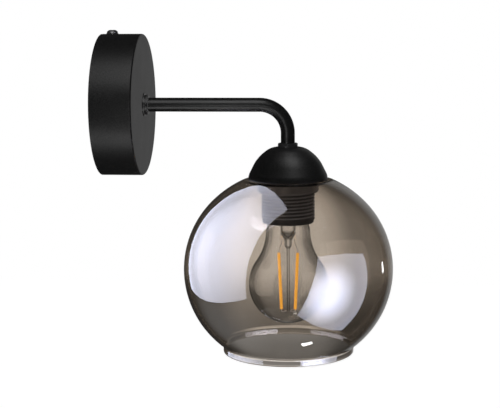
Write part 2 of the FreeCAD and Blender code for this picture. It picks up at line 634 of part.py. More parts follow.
def make_arm_tube():
    body = new_body("arm_tube")
    path = sketch_in(body, "XZ_Plane")
    draw(
        path,
        (
            ("arm_start", "0"),
            ("bend_start", "0"),
            ("lamp_axis", "-bend_radius"),
            ("lamp_axis", "-arm_drop"),
        ),
        arcs={1: ("bend_radius", -1)},
        closed=False,
    )
    section = sketch_in(body, "YZ_Plane", "arm_start")
    draw_circle(section, "0", "0", "arm_diameter")
    draw_circle(section, "0", "0", "arm_bore")
    pipe = body.newObject("PartDesign::AdditivePipe", "arm_tube_pipe")
    pipe.Profile = section
    pipe.Spine = (path, [])
    document.recompute()
    place(body)


# Hexagon nuts and washers on the arm's two threads


def make_pipe_nut(label, **where):
    body = new_body(label)
    outline = sketch_in(body, "XY_Plane")
    draw(outline, hexagon("nut_flats", "nut_corners"))
    draw_circle(outline, "0", "0", "thread_hole")
    pushed(body, outline, "nut_thickness")
    chamfer = (
        ("nut_chamfer_end", "nut_thickness - nut_chamfer_rise"),
        ("nut_chamfer_end", "nut_thickness + cutter_reach"),
        ("nut_chamfer_start", "nut_thickness + cutter_reach"),
        ("nut_chamfer_start", "nut_thickness"),
    )
    turned(body, chamfer, cut=True)
    place(body, **where)


def make_arm_washer():
    body = new_body("arm_outer_washer")
    flat_ring(body, "washer_diameter", "thread_hole", "washer_thickness")
    place(body, across="canopy_depth", lying=True)


def make_lock_washer():
    body = new_body("arm_lock_washer")
    flat_ring(body, "washer_diameter", "thread_hole", "washer_thickness")
    gap = sketch_in(body, "XY_Plane")
    foot, reach = "washer_diameter / 2 - tooth_gap_depth", "washer_diameter / 2 + cutter_reach"
    draw(gap, rectangle(foot, "-tooth_gap_width / 2", reach, "tooth_gap_width / 2"))
    cut = pushed(body, gap, "washer_thickness", cut=True, backwards=True)
    pattern = body.newObject("PartDesign::PolarPattern", "lock_washer_teeth")
    pattern.Originals = [cut]
    pattern.Axis = (gap, ["N_Axis"])
    pattern.Angle = 360
    pattern.setExpression("Occurrences", linked("tooth_count"))
    body.Tip = pattern
    document.recompute()
    place(body, across="canopy_inner_front - washer_thickness", lying=True)


# Earth tag: a ring on the arm with a tongue and a wire barrel below it


def make_earth_tag():
    body = new_body("earth_tag")
    flat_ring(body, "washer_diameter", "thread_hole", "tag_thickness")
    # In the lying tag the tongue points along its own +X axis, which hangs down
    tongue = sketch_in(body, "XY_Plane")
    half = "tag_tongue_width / 2"
    draw(tongue, rectangle("tag_ring_middle", f"-{half}", "tag_length + tag_barrel_diameter / 2", half))
    pushed(body, tongue, "tag_thickness")
    barrel = sketch_in(body, "XY_Plane")
    draw_circle(barrel, "tag_length", "0", "tag_barrel_diameter")
    pushed(body, barrel, "tag_barrel_length", backwards=True)
    bore = sketch_in(body, "XY_Plane", "-tag_barrel_length")
    draw_circle(bore, "tag_length", "0", "tag_bore")
    pushed(body, bore, "tag_barrel_length", cut=True, backwards=True)
    place(body, across="tag_place", lying=True)


# Terminal block: housing, three clamp tubes and six screws

# Poles along the block, and the two screws of each pole, as signed steps from the middle
POLES = (-1, 0, 1)
SCREW_SIDES = (-0.5, 0.5)


def pole_places():
    """Side and height formulas of each terminal screw, in the block's own frame."""
    return [
        (f"{pole} * pole_pitch", f"block_height / 2 + {side} * block_screw_spacing")
        for pole in POLES
        for side in SCREW_SIDES
    ]


def cylinder(name, diameter, length, **where):
    """A plain cylinder at its place."""
    thing = document.addObject("Part::Cylinder", name)
    thing.setExpression("Radius", linked(f"({diameter}) / 2"))
    thing.setExpression("Height", linked(length))
    place(thing, **where)
    return thing


def block(name, length, width, height, **where):
    """A plain block at its place."""
    thing = document.addObject("Part::Box", name)
    thing.setExpression("Length", linked(length))
    thing.setExpression("Width", linked(width))
    thing.setExpression("Height", linked(height))
    place(thing, **where)
    return thing


def grouped(label, things):
    """Registers several solids as one sub-part."""
    group = document.addObject("Part::Compound", f"{label}_group")
    group.Links = things
    register(group, label)


def make_terminal_block():
    body = new_body("terminal_block")
    housing = sketch_in(body, "XY_Plane")
    draw(housing, rectangle("0", "-block_length / 2", "block_depth", "block_length / 2"))
    pushed(body, housing, "block_height")
    bores = sketch_in(body, "XY_Plane")
    for pole in POLES:
        draw_circle(bores, "block_depth / 2", f"{pole} * pole_pitch", "clamp_diameter + 2 * fit_play")
    pushed(body, bores, "block_height", cut=True, backwards=True)
    wells = sketch_in(body, "YZ_Plane")
    for side, up in pole_places():
        draw_circle(wells, side, up, "screw_well_diameter")
    pushed(body, wells, "screw_well_depth", cut=True, backwards=True)
    groove = sketch_in(body, "XZ_Plane")
    low, top = "(block_height - block_groove_width) / 2", "(block_height + block_groove_width) / 2"
    draw(groove, rectangle("block_depth - block_groove_depth", low, "block_depth + cutter_reach", top))
    pushed(body, groove, "block_length + 2 * cutter_reach", cut=True, both=True)
    place(body, across="block_from_wall", up="-block_drop")


def make_terminal_clamps():
    length = "block_height - 2 * clamp_inset"
    tubes = []
    for pole in POLES:
        where = {"across": "block_wire_x", "side": f"{pole} * pole_pitch", "up": "clamp_inset - block_drop"}
        outer = cylinder("clamp_outer", "clamp_diameter", length, **where)
        cutters = [cylinder("clamp_bore", "clamp_bore", length, **where)]
        for side, up in pole_places():
            if side.startswith(f"{pole} "):
                spot = {"across": "block_from_wall", "side": side, "up": f"{up} - block_drop"}
                tapped = "terminal_screw_diameter + 2 * nut_play"
                cutters.append(cylinder("clamp_tapped", tapped, "block_depth / 2", lying=True, **spot))
        fused = document.addObject("Part::MultiFuse", "clamp_cutters")
        fused.Shapes = cutters
        tube = document.addObject("Part::Cut", "clamp_tube")
        tube.Base, tube.Tool = outer, fused
        tubes.append(tube)
    grouped("terminal_clamps", tubes)


def make_terminal_screws():
    screws = []
    head = "block_from_wall + terminal_screw_inset"
    width = "terminal_slot_width"
    for side, up in pole_places():
        spot = {"across": head, "side": side, "up": f"{up} - block_drop"}
        length = "terminal_screw_length"
        shank = cylinder("terminal_shank", "terminal_screw_diameter", length, lying=True, **spot)
        corner = {"across": head, "side": f"{side} - {width} / 2"}
        low = f"{up} - block_drop - terminal_screw_diameter / 2"
        slot = block("terminal_slot", width, width, "terminal_screw_diameter", up=low, **corner)
        screw = document.addObject("Part::Cut", "terminal_screw")
        screw.Base, screw.Tool = shank, slot
        screws.append(screw)
    grouped("terminal_screws", screws)


# Wires: straight runs joined by tangent arcs, from the terminal block to the holder


def routed(points, radii, diameter):
    """A round wire along the points, with the given bend radius at each inner point."""
    edges = []
    here = points[0]
    for corner, radius in enumerate(radii, start=1):
        before = (points[corner] - points[corner - 1]).normalize()
        after = (points[corner + 1] - points[corner]).normalize()
        half_turn = before.getAngle(after) / 2
        cut = radius * math.tan(half_turn)
        start, end = points[corner] - before * cut, points[corner] + after * cut
        inward = (after - before).normalize()
        middle = points[corner] + inward * (radius / math.cos(half_turn) - radius)
        edges.append(Part.LineSegment(here, start).toShape())
        edges.append(Part.Arc(start, middle, end).toShape())
        here = end
    edges.append(Part.LineSegment(here, points[-1]).toShape())
    path = Part.Wire(edges)
    section = Part.Wire(Part.makeCircle(diameter / 2, points[0], points[1] - points[0]))
    wire = path.makePipeShell([section], True, False)
    expected = math.pi * diameter**2 / 4 * path.Length
    if abs(wire.Volume - expected) > 0.01 * expected:
        raise ValueError("a wire's volume is not its section times its length")
    return wire


def free_radius(points, corner):
    """The largest arc at a corner that leaves a tenth of the shorter run straight."""
    before, after = points[corner] - points[corner - 1], points[corner + 1] - points[corner]
    return 0.45 * min(before.Length, after.Length) / math.tan(before.getAngle(after) / 2)


def shaped(label, solids):
    """Registers solids that are made directly from points as one sub-part."""
    thing = document.addObject("Part::Feature", f"{label}_shape")
    thing.Shape = Part.Compound(solids)
    register(thing, label)


def make_wire(label, points, radii):
    print(label, "bend radii", [round(radius, 1) for radius in radii])
    shaped(label, [routed(points, radii, size("wire_diameter"))])


def make_lamp_wire(label, side):
    """A live or neutral wire: up from its pole, through the arm and down to the holder."""
    low = -size("wire_offset")
    pole_side, tube_side = side * size("pole_pitch"), side * size("(wire_diameter + wire_gap) / 2")
    block_x, lamp_x = size("block_wire_x"), size("lamp_axis") + low
    end_level = size("tag_thickness - insert_top_drop + wire_end_rise")
    points = [
        Vector(block_x, pole_side, size("wire_level")),
        Vector(block_x, pole_side, -size("block_top_drop")),
        Vector(block_x, tube_side, low),
        Vector(lamp_x, tube_side, low),
        Vector(lamp_x, tube_side, -size("arm_drop + wire_turn_drop")),
        Vector(lamp_x, side * size("terminal_spread"), end_level),
    ]
    radii = [free_radius(points, corner) for corner in range(1, 5)]
    radii[2] = size("bend_radius") + low
    make_wire(label, points, radii)


def make_earth_wire():
    block_x = size("block_wire_x")
    barrel = Vector(size("tag_place - tag_barrel_length / 2"), 0, -size("tag_length"))
    points = [
        Vector(block_x, 0, size("wire_level")),
        Vector(block_x, 0, barrel.z),
        barrel,
    ]
    make_wire("wire_earth", points, [free_radius(points, 1)])


# Domed cap and what it covers


def make_dome_cap():
    body = new_body("dome_cap")
    corners = (
        ("0", "-dome_top_drop"),
        ("0", "-dome_rim_drop"),
        ("dome_diameter / 2", "-dome_rim_drop"),
        ("dome_diameter / 2", "dome_band - dome_rim_drop"),
        ("dome_shoulder_diameter / 2", "-dome_top_drop - dome_shoulder_drop"),
        ("dome_flat_diameter / 2", "-dome_top_drop"),
    )
    turned(body, corners)
    for corner, amount in ((5, "dome_crown_round"), (4, "dome_shoulder_round"), (3, "dome_band_round")):
        dressed(body, "Fillet", amount, rims(body, corners[corner]))
    shell = body.newObject("PartDesign::Thickness", "dome_cap_shell")
    under = min(enumerate(body.Shape.Faces, start=1), key=lambda item: item[1].CenterOfMass.z)[0]
    shell.Base = (shell.BaseFeature, [f"Face{under}"])
    shell.setExpression("Value", linked("dome_wall"))
    shell.Reversed = True
    document.recompute()
    hole = sketch_in(body, "XY_Plane", "-dome_top_drop - 2 * dome_wall")
    draw_circle(hole, "0", "0", "thread_hole")
    pushed(body, hole, "4 * dome_wall", cut=True, backwards=True)
    place(body, across="lamp_axis")


def make_holder_cap():
    body = new_body("holder_cap")
    outer, inner = "holder_cap_diameter / 2", "collar_diameter / 2 + fit_play"
    turned(
        body,
        (
            ("thread_hole / 2", "-cap_top_drop"),
            ("thread_hole / 2", "-cap_roof_drop"),
            (inner, "-cap_roof_drop"),
            (inner, "-flange_top_drop"),
            (outer, "-flange_top_drop"),
            (outer, "cap_edge - cap_roof_drop"),
            ("cap_neck_diameter / 2", "cap_edge + cap_slope - cap_roof_drop"),
            ("cap_neck_diameter / 2", "-cap_top_drop"),
        ),
    )
    hole = sketch_in(body, "YZ_Plane")
    draw_circle(hole, "0", "lock_screw_level", "lock_screw_diameter + 2 * nut_play")
    pushed(body, hole, "cap_neck_diameter", cut=True, backwards=True)
    place(body, across="lamp_axis")


def make_holder_lock_screw():
    body = new_body("holder_lock_screw")
    turned(
        body,
        (
            ("0", "0"),
            ("lock_screw_diameter / 2 - screw_end_chamfer", "0"),
            ("lock_screw_diameter / 2", "screw_end_chamfer"),
            ("lock_screw_diameter / 2", "lock_screw_length"),
            ("0", "lock_screw_length"),
        ),
    )
    slot = sketch_in(body, "XY_Plane", "lock_screw_length")
    reach, half = "lock_screw_diameter", "lock_slot_width / 2"
    draw(slot, rectangle(f"-{reach}", f"-{half}", reach, half))
    pushed(body, slot, "lock_slot_depth", cut=True)
    place(body, across="lamp_axis + thread_hole / 2", up="lock_screw_level", lying=True)


# Holder body: collar, flange on the globe, and the long threaded skirt


def make_holder_body():
    body = new_body("holder_body")
    turned(
        body,
        (
            ("ledge_diameter / 2", "-collar_top_drop"),
            ("ledge_diameter / 2", "-ledge_drop"),
            ("skirt_bore / 2", "-ledge_drop"),
            ("skirt_bore / 2", "skirt_mouth_depth - skirt_end_drop"),
            ("skirt_mouth_bore / 2", "skirt_mouth_depth - skirt_step - skirt_end_drop"),
            ("skirt_mouth_bore / 2", "-skirt_end_drop"),
            ("thread_root / 2 - skirt_chamfer", "-skirt_end_drop"),
            ("thread_root / 2", "skirt_chamfer - skirt_end_drop"),
            ("thread_root / 2", "-seat_drop"),
            ("flange_diameter / 2", "-seat_drop"),
            ("flange_diameter / 2", "-flange_top_drop"),
            ("collar_diameter / 2", "-flange_top_drop"),
            ("collar_diameter / 2", "-collar_top_drop"),
        ),
    )
    outline = ridge("thread_root / 2 - ridge_sink", "thread_root / 2", "thread_diameter / 2",
                    "thread_foot", "ridge_flank", "ridge_crest")
    threaded(body, outline, "thread_pitch", "thread_turns")
    place(body, across="lamp_axis")


def make_shade_ring():
    body = new_body("shade_ring")
    bore, outer = "ring_bore / 2", "ring_diameter / 2"
    turned(
        body,
        (
            (bore, "-ring_end_drop"),
            (f"{outer} - ring_chamfer", "-ring_end_drop"),
            (outer, "ring_chamfer - ring_end_drop"),
            (outer, "-ring_top_drop"),
            (bore, "-ring_top_drop"),
        ),
    )
    # The ridge runs midway between the holder's ridges, as low in the ring as that allows
    threaded(
        body,
        (
            (f"{bore} + ridge_sink", "ring_ridge_level - ring_ridge_foot / 2"),
            (f"{bore} + ridge_sink", "ring_ridge_level + ring_ridge_foot / 2"),
            (f"{bore} - ring_ridge_depth", "ring_ridge_level + ring_ridge_crest / 2"),
            (f"{bore} - ring_ridge_depth", "ring_ridge_level - ring_ridge_crest / 2"),
        ),
        "thread_pitch",
        "ring_thread_turns",
    )
    place(body, across="lamp_axis")


# Smoked globe: an oval of four arcs with a flat seat, a hole and an open mouth with a lip


def make_globe_shade():
    body = new_body("globe_shade")
    centre = "globe_centre_drop"
    glass = "glass_thickness"
    bend = "sqrt(0.5)"

    def pole_level(radius, reach):
        """Height above the centre of the upper oval at a distance from the axis."""
        return f"(sqrt(pow({radius}; 2) - pow({reach}; 2)) - oval_shift)"

    def pole_reach(radius, level):
        """Distance from the axis of the upper oval at a height above the centre."""
        return f"sqrt(pow({radius}; 2) - pow({level} + oval_shift; 2))"

    side, pole = "side_radius", "pole_radius"
    side_in, pole_in = f"({side} - {glass})", f"({pole} - {glass})"
    mouth_out, mouth_in = "mouth_diameter / 2", f"(mouth_diameter / 2 - {glass})"
    lip_top = f"-{centre} - {pole_level(pole, mouth_out)}"
    lip_end = f"{lip_top} - lip_height"
    seat_out = pole_reach(pole, "seat_to_equator")
    seat_in = pole_reach(pole_in, f"(seat_to_equator - {glass})")
    outer_joint = (f"oval_shift + {side} * {bend}", f"{side} * {bend}")
    inner_joint = (f"oval_shift + {side_in} * {bend}", f"{side_in} * {bend}")
    corners = (
        ("shade_hole / 2", "-seat_drop"),
        ("shade_hole / 2", "-glass_under_drop"),
        (seat_in, "-glass_under_drop"),
        (inner_joint[0], f"{inner_joint[1]} - {centre}"),
        (inner_joint[0], f"-({inner_joint[1]}) - {centre}"),
        (mouth_in, f"-{centre} - {pole_level(pole_in, mouth_in)}"),
        (mouth_in, lip_end),
        (mouth_out, lip_end),
        (mouth_out, lip_top),
        (outer_joint[0], f"-({outer_joint[1]}) - {centre}"),
        (outer_joint[0], f"{outer_joint[1]} - {centre}"),
        (seat_out, "-seat_drop"),
    )
    arcs = {2: (pole_in, -1), 3: (side_in, -1), 4: (pole_in, -1), 8: (pole, 1), 9: (side, 1), 10: (pole, 1)}
    turned(body, corners, arcs)
    dressed(body, "Fillet", "seat_round", rims(body, corners[11]))
    dressed(body, "Fillet", "seat_round - glass_thickness", rims(body, corners[2]))
    dressed(body, "Fillet", "neck_round", rims(body, corners[8]))
    dressed(body, "Fillet", "neck_round + glass_thickness", rims(body, corners[5]))
    dressed(body, "Fillet", "lip_round", rims(body, corners[6], corners[7]))
    place(body, across="lamp_axis")


# Holder inside: insert, screw shell, contact, terminals


def make_holder_insert():
    body = new_body("holder_insert")
    disc = sketch_in(body, "XY_Plane", "-insert_bottom_drop")
    draw_circle(disc, "0", "0", "ledge_diameter - 2 * fit_play")
    draw_circle(disc, "-insert_rivet_place", "0", "insert_rivet_diameter")
    pushed(body, disc, "insert_height")
    place(body, across="lamp_axis")


def make_screw_shell():
    body = new_body("holder_screw_shell")
    bore, outer = "shell_bore / 2", "shell_bore / 2 + shell_wall"
    turned(
        body,
        (
            (bore, "-insert_bottom_drop"),
            (bore, "-shell_end_drop"),
            (outer, "-shell_end_drop"),
            (outer, "-ledge_drop"),
            ("ledge_diameter / 2 - fit_play", "-ledge_drop"),
            ("ledge_diameter / 2 - fit_play", "-insert_bottom_drop"),
        ),
    )
    outline = ridge(f"{bore} + shell_wall / 2", bore, f"{bore} - lamp_thread_depth",
                    "shell_thread_foot", "lamp_flank", "lamp_crest")
    threaded(body, outline, "lamp_thread_pitch", "lamp_thread_turns")
    place(body, across="lamp_axis")


def make_centre_contact():
    body = new_body("holder_centre_contact")
    rivet = sketch_in(body, "XY_Plane", "rivet_head - insert_top_drop")
    draw_circle(rivet, "-insert_rivet_place", "0", "insert_rivet_diameter - 2 * fit_play")
    pushed(body, rivet, "insert_height + 2 * rivet_head", backwards=True)
    leaf = sketch_in(body, "XZ_Plane")
    top, low = "(-insert_bottom_drop - leaf_gap)", "(contact_gap - lamp_tip_drop)"
    foot, tip = "leaf_foot_length / 2", "leaf_tip_length / 2"
    slant = "shell_wall / 2"
    draw(
        leaf,
        (
            (f"-insert_rivet_place - {foot}", top),
            (f"-insert_rivet_place - {foot}", f"{top} - shell_wall"),
            (f"-insert_rivet_place + {foot}", f"{top} - shell_wall"),
            (f"-{tip}", low),
            (tip, low),
            (tip, f"{low} + shell_wall"),
            (f"{slant} - {tip}", f"{low} + shell_wall"),
            (f"-insert_rivet_place + {foot} + {slant}", top),
        ),
    )
    pushed(body, leaf, "leaf_width", both=True)
    place(body, across="lamp_axis")


def make_holder_terminals():
    plates = []
    for side in (-1, 1):
        where = {
            "across": "lamp_axis - wire_offset - terminal_length / 2",
            "side": f"{side} * terminal_spread - terminal_width / 2",
            "up": "-insert_top_drop",
        }
        plate = block("terminal_plate", "terminal_length", "terminal_width", "tag_thickness", **where)
        plates.append(plate)
    grouped("holder_terminals", plates)


# Bulb: glass, cap, tip, stem, wires and light rods


def make_bulb_glass():
    body = new_body("bulb_glass")
    centre = "bulb_centre_drop"
    rim = "lamp_cap_rim_diameter / 2 - shell_wall - fit_play"

    def outline(wall):
        ball, hollow = f"(bulb_diameter / 2 - {wall})", f"(shoulder_hollow + {wall})"
        share = f"{ball} / ({ball} + {hollow})"
        return {
            "ball": ball,
            "hollow": hollow,
            "rim": (f"{rim} - {wall}", "glass_in_cap - lamp_cap_end_drop"),
            "edge": (f"{rim} - {wall}", "-lamp_cap_end_drop - glass_step"),
            "neck": (f"bulb_neck_diameter / 2 - {wall}", f"shoulder_rise - {centre}"),
            "joint": (f"shoulder_reach * {share}", f"shoulder_rise * {share} - {centre}"),
            "pole": ("0", f"-{centre} - {ball}"),
        }

    outer, inner = outline("0"), outline("bulb_wall")
    corners = (
        outer["rim"], inner["rim"], inner["edge"], inner["neck"], inner["joint"], inner["pole"],
        outer["pole"], outer["joint"], outer["neck"], outer["edge"],
    )
    arcs = {3: (inner["hollow"], 1), 4: (inner["ball"], -1), 6: (outer["ball"], 1), 7: (outer["hollow"], -1)}
    turned(body, corners, arcs)
    place(body, across="lamp_axis")


def make_bulb_cap_shell():
    body = new_body("bulb_cap_shell")
    outer, inner = "lamp_root / 2", "lamp_root / 2 - shell_wall"
    rim, rim_in = "lamp_cap_rim_diameter / 2", "lamp_cap_rim_diameter / 2 - shell_wall"
    slope_low, slope_top = "(lamp_cap_rim_length - lamp_cap_end_drop)", "lamp_cap_slope"
    turned(
        body,
        (
            (inner, "-insulator_edge_drop"),
            (inner, f"{slope_low} + {slope_top}"),
            (rim_in, slope_low),
            (rim_in, "-lamp_cap_end_drop"),
            (rim, "-lamp_cap_end_drop"),
            (rim, f"{slope_low} + shell_wall"),
            (outer, f"{slope_low} + {slope_top} + shell_wall"),
            (outer, "-insulator_edge_drop"),
        ),
    )
    # The bulb's ridge runs midway between the shell's ridges
    outline = ridge("lamp_root / 2 - shell_wall / 2", "lamp_root / 2", "lamp_thread_diameter / 2",
                    "(shell_thread_foot + lamp_thread_pitch / 2)", "lamp_flank", "lamp_crest")
    threaded(body, outline, "lamp_thread_pitch", "lamp_thread_turns")
    place(body, across="lamp_axis")


def make_bulb_cap_insulator():
    body = new_body("bulb_cap_insulator")
    turned(
        body,
        (
            ("0", "-lamp_tip_base_drop - fit_play"),
            ("0", "-insulator_end_drop"),
            ("lamp_root / 2 - shell_wall - fit_play", "-insulator_end_drop"),
            ("lamp_root / 2 - shell_wall - fit_play", "fit_play - insulator_edge_drop"),
            ("lamp_root / 2 - shell_wall / 2", "fit_play - insulator_edge_drop"),
            ("lamp_tip_diameter / 2 + insulator_nose", "-lamp_tip_base_drop - fit_play"),
        ),
    )
    place(body, across="lamp_axis")


def make_bulb_tip_contact():
    body = new_body("bulb_tip_contact")
    turned(
        body,
        (
            ("0", "-lamp_tip_base_drop"),
            ("lamp_tip_diameter / 2", "-lamp_tip_base_drop"),
            ("lamp_tip_diameter / 2", "lamp_tip_edge - lamp_tip_base_drop"),
            ("lamp_tip_diameter / 4", "-lamp_tip_drop"),
            ("0", "-lamp_tip_drop"),
        ),
    )
    place(body, across="lamp_axis")


def make_bulb_driver():
    body = new_body("bulb_driver")
    top, low = "(-insulator_end_drop - board_gap)", "board_end_space - lamp_cap_end_drop"
    board = sketch_in(body, "XZ_Plane")
    draw(board, rectangle("-board_width / 2", low, "board_width / 2", top))
    pushed(body, board, "board_thickness", both=True)
    coil = sketch_in(body, "XZ_Plane")
    left, coil_top = "(coil_inset - board_width / 2)", f"({top} - coil_inset)"
    draw(coil, rectangle(left, f"{coil_top} - coil_height", f"{left} + coil_width", coil_top))
    pushed(body, coil, "coil_reach")
    place(body, across="lamp_axis")


def make_bulb_stem():
    body = new_body("bulb_stem")
    top = "stem_top_gap - lamp_cap_end_drop"
    rod_end = "-filament_bottom_drop - stem_rod_overrun"
    turned(
        body,
        (
            ("0", top),
            ("stem_flare_diameter / 2", top),
            ("stem_tube_diameter / 2", f"{top} - stem_flare_height"),
            ("stem_tube_diameter / 2", "stem_pinch_length + stem_pinch_slope - stem_end_drop"),
            ("stem_pinch_diameter / 2", "stem_pinch_length - stem_end_drop"),
            ("stem_tube_diameter / 4", "-stem_end_drop"),
            ("stem_rod_diameter / 2", "-stem_end_drop - stem_rod_shoulder"),
            ("stem_rod_diameter / 2", rod_end),
            ("0", f"{rod_end} - stem_rod_tip"),
        ),
    )
    place(body, across="lamp_axis")


def filament_ends(side):
    """Top and bottom of one light rod."""
    lamp_x = size("lamp_axis")
    top = Vector(lamp_x + side * size("filament_top_spread"), 0, -size("filament_top_drop"))
    bottom = Vector(lamp_x + side * size("filament_bottom_spread"), 0, -size("filament_bottom_drop"))
    return top, bottom


def make_bulb_filaments():
    rods = []
    for side in (-1, 1):
        top, bottom = filament_ends(side)
        along = bottom - top
        rods.append(Part.makeCylinder(size("filament_diameter") / 2, along.Length, top, along))
    shaped("bulb_filaments", rods)


def make_bulb_lead_wires():
    lamp_x, diameter = size("lamp_axis"), size("lead_diameter")
    stem_end = -size("stem_end_drop")
    up = Vector(0, 0, 1)
    leads = []
    for side in (-1, 1):
        top, bottom = filament_ends(side)
        root = Vector(lamp_x + side * size("lead_root_spread"), 0, stem_end + size("stem_pinch_length"))
        turn = Vector(lamp_x + side * size("lead_spread"), 0, stem_end)
        points = [root, turn, top + up * size("lead_run"), top + up * size("lead_gap")]
        leads.append(routed(points, [free_radius(points, 1), free_radius(points, 2)], diameter))
        foot = bottom - up * size("lead_gap")
        low = foot - up * size("lead_run")
        beside_rod = side * size("(stem_rod_diameter + lead_diameter) / 2 + lead_gap")
        rod_side = Vector(lamp_x + beside_rod, 0, low.z + size("lead_rise"))
        points = [foot, low, rod_side]
        leads.append(routed(points, [free_radius(points, 1)], diameter))
    shaped("bulb_lead_wires", leads)


def check_parts():
    """Stops if any object failed, or if a sub-part's shape is missing or invalid."""
    for thing in document.Objects:
        if "Invalid" in thing.State or "Error" in thing.State:
            raise ValueError(f"{thing.Label} failed: {thing.State}")
    for thing in parts:
        if thing.Shape.isNull() or not thing.Shape.isValid() or not thing.Shape.Solids:
            raise ValueError(f"{thing.Label} has no valid solid")


def write_parts():
    os.makedirs("parts", exist_ok=True)
    for thing in parts:
        thing.Shape.exportStep(f"parts/{thing.Label}.step")
        print(thing.Label, len(thing.Shape.Solids), "solid, volume", round(thing.Shape.Volume, 1))


make_wall_bracket()
make_canopy()
make_canopy_screw()
make_canopy_screw_washer()
make_arm_tube()
make_arm_washer()
make_pipe_nut("arm_outer_nut", across="canopy_depth + washer_thickness", lying=True)
make_lock_washer()
make_earth_tag()
make_pipe_nut("arm_inner_nut", across="inner_nut_place", lying=True)
make_terminal_block()
make_terminal_clamps()
make_terminal_screws()
make_lamp_wire("wire_live", -1)
make_lamp_wire("wire_neutral", 1)
make_earth_wire()
make_pipe_nut("dome_nut", across="lamp_axis", up="-dome_top_drop")
make_dome_cap()
make_holder_cap()
make_holder_lock_screw()
make_holder_body()
make_holder_insert()
make_screw_shell()
make_centre_contact()
make_holder_terminals()
make_shade_ring()
make_globe_shade()
make_bulb_glass()
make_bulb_cap_shell()
make_bulb_cap_insulator()
make_bulb_tip_contact()
make_bulb_driver()
make_bulb_stem()
make_bulb_lead_wires()
make_bulb_filaments()
document.recompute()
check_parts()
write_parts()
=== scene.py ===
# %% [markdown]
# Globe wall sconce. A round canopy sits flat on the wall, and a thin tube comes straight
# out of it, bends down and carries a domed cap, a threaded lamp holder and a smoked glass
# globe round a clear bulb. The CAD model is the frame of this scene: every piece below sits
# where its solid is and rides on the body that moves it. Lengths are in millimetres here
# and become metres where a shape is made, because Blender's unit is the metre. Places that
# differ by less than TOUCH count as the same.

import json
import math

import bpy
from mathutils import Euler, Matrix, Vector

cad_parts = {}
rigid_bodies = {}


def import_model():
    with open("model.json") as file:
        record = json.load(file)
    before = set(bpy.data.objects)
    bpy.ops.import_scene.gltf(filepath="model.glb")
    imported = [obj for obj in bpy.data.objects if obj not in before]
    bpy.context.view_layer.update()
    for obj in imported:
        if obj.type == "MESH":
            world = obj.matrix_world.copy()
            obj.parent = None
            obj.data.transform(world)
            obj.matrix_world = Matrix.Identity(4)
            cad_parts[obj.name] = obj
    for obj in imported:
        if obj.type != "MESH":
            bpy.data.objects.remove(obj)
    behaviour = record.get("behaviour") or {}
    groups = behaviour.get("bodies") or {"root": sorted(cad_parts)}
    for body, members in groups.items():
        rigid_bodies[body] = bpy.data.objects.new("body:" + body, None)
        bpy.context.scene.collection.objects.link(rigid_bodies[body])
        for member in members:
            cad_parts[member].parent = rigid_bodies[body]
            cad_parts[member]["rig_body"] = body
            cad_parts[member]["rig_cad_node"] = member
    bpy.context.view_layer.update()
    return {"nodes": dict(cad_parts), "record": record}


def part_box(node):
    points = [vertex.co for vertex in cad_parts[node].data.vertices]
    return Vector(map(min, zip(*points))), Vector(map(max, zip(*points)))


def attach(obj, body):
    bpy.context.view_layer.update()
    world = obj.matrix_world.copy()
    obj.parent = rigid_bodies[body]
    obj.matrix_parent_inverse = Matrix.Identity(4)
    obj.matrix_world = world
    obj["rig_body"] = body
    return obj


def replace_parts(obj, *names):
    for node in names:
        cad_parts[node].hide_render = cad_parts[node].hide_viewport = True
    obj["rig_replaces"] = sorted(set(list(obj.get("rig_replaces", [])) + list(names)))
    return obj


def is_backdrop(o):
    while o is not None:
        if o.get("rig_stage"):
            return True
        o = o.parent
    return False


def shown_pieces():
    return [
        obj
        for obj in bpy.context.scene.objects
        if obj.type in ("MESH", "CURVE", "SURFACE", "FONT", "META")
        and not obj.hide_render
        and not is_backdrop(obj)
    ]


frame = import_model()
nodes_of_cad = frame["nodes"]
slot_of = {row["node"]: row["material_slot"] for row in frame["record"]["subparts"]}
body_of = {node: body for body, nodes in frame["record"]["behaviour"]["bodies"].items() for node in nodes}
MM = 0.001
TOUCH = 0.01
WHITE = (1.0, 1.0, 1.0)
UP = Vector((0, 0, 1))
OUT = Vector((1, 0, 0))

# %% [markdown]
# The camera stands where the photographer stood: nearly a metre in front, a little to the
# room side, and looking slightly down. Its place came from fitting the outlines of the
# canopy, the tube and the globe. The photograph was cropped off centre, and the lens shift
# gives that crop without turning the camera.

# %% Camera
CAMERA_PLACE = (206.8, -965.5, 73.7)
CAMERA_TURN_LEFT = 5.74
CAMERA_TILT_DOWN = 7.24
CAMERA_ROLL = 0.35
CAMERA_LENS = 98.5
CROP_SHIFT = (-0.0116, -0.06)
camera_data = bpy.data.cameras.new("camera")
camera_data.lens = CAMERA_LENS
camera_data.shift_x, camera_data.shift_y = CROP_SHIFT
camera = bpy.data.objects.new("camera", camera_data)
bpy.context.collection.objects.link(camera)
aim = Euler((math.radians(90 - CAMERA_TILT_DOWN), 0, math.radians(CAMERA_TURN_LEFT))).to_matrix()
roll = Matrix.Rotation(math.radians(-CAMERA_ROLL), 3, "Z")
camera.matrix_world = Matrix.Translation(Vector(CAMERA_PLACE) * MM) @ (aim @ roll).to_4x4()
bpy.context.scene.camera = camera
bpy.context.scene.view_settings.view_transform = "Standard"
print("camera with a", CAMERA_LENS, "mm lens sees the sconce from", CAMERA_PLACE)

# %% [markdown]
# Materials are node trees. Wiring them by hand in code is long, so two small classes help.
# Value stands for one output of a node and understands plus, minus and times, so that a
# formula in Python becomes a chain of Math nodes. Tree adds any other node: its settings
# first, then the values or links of its sockets.

# %% Node helpers
MIX_FACTOR, MIX_A, MIX_B, MIX_COLOUR = 0, 6, 7, 2


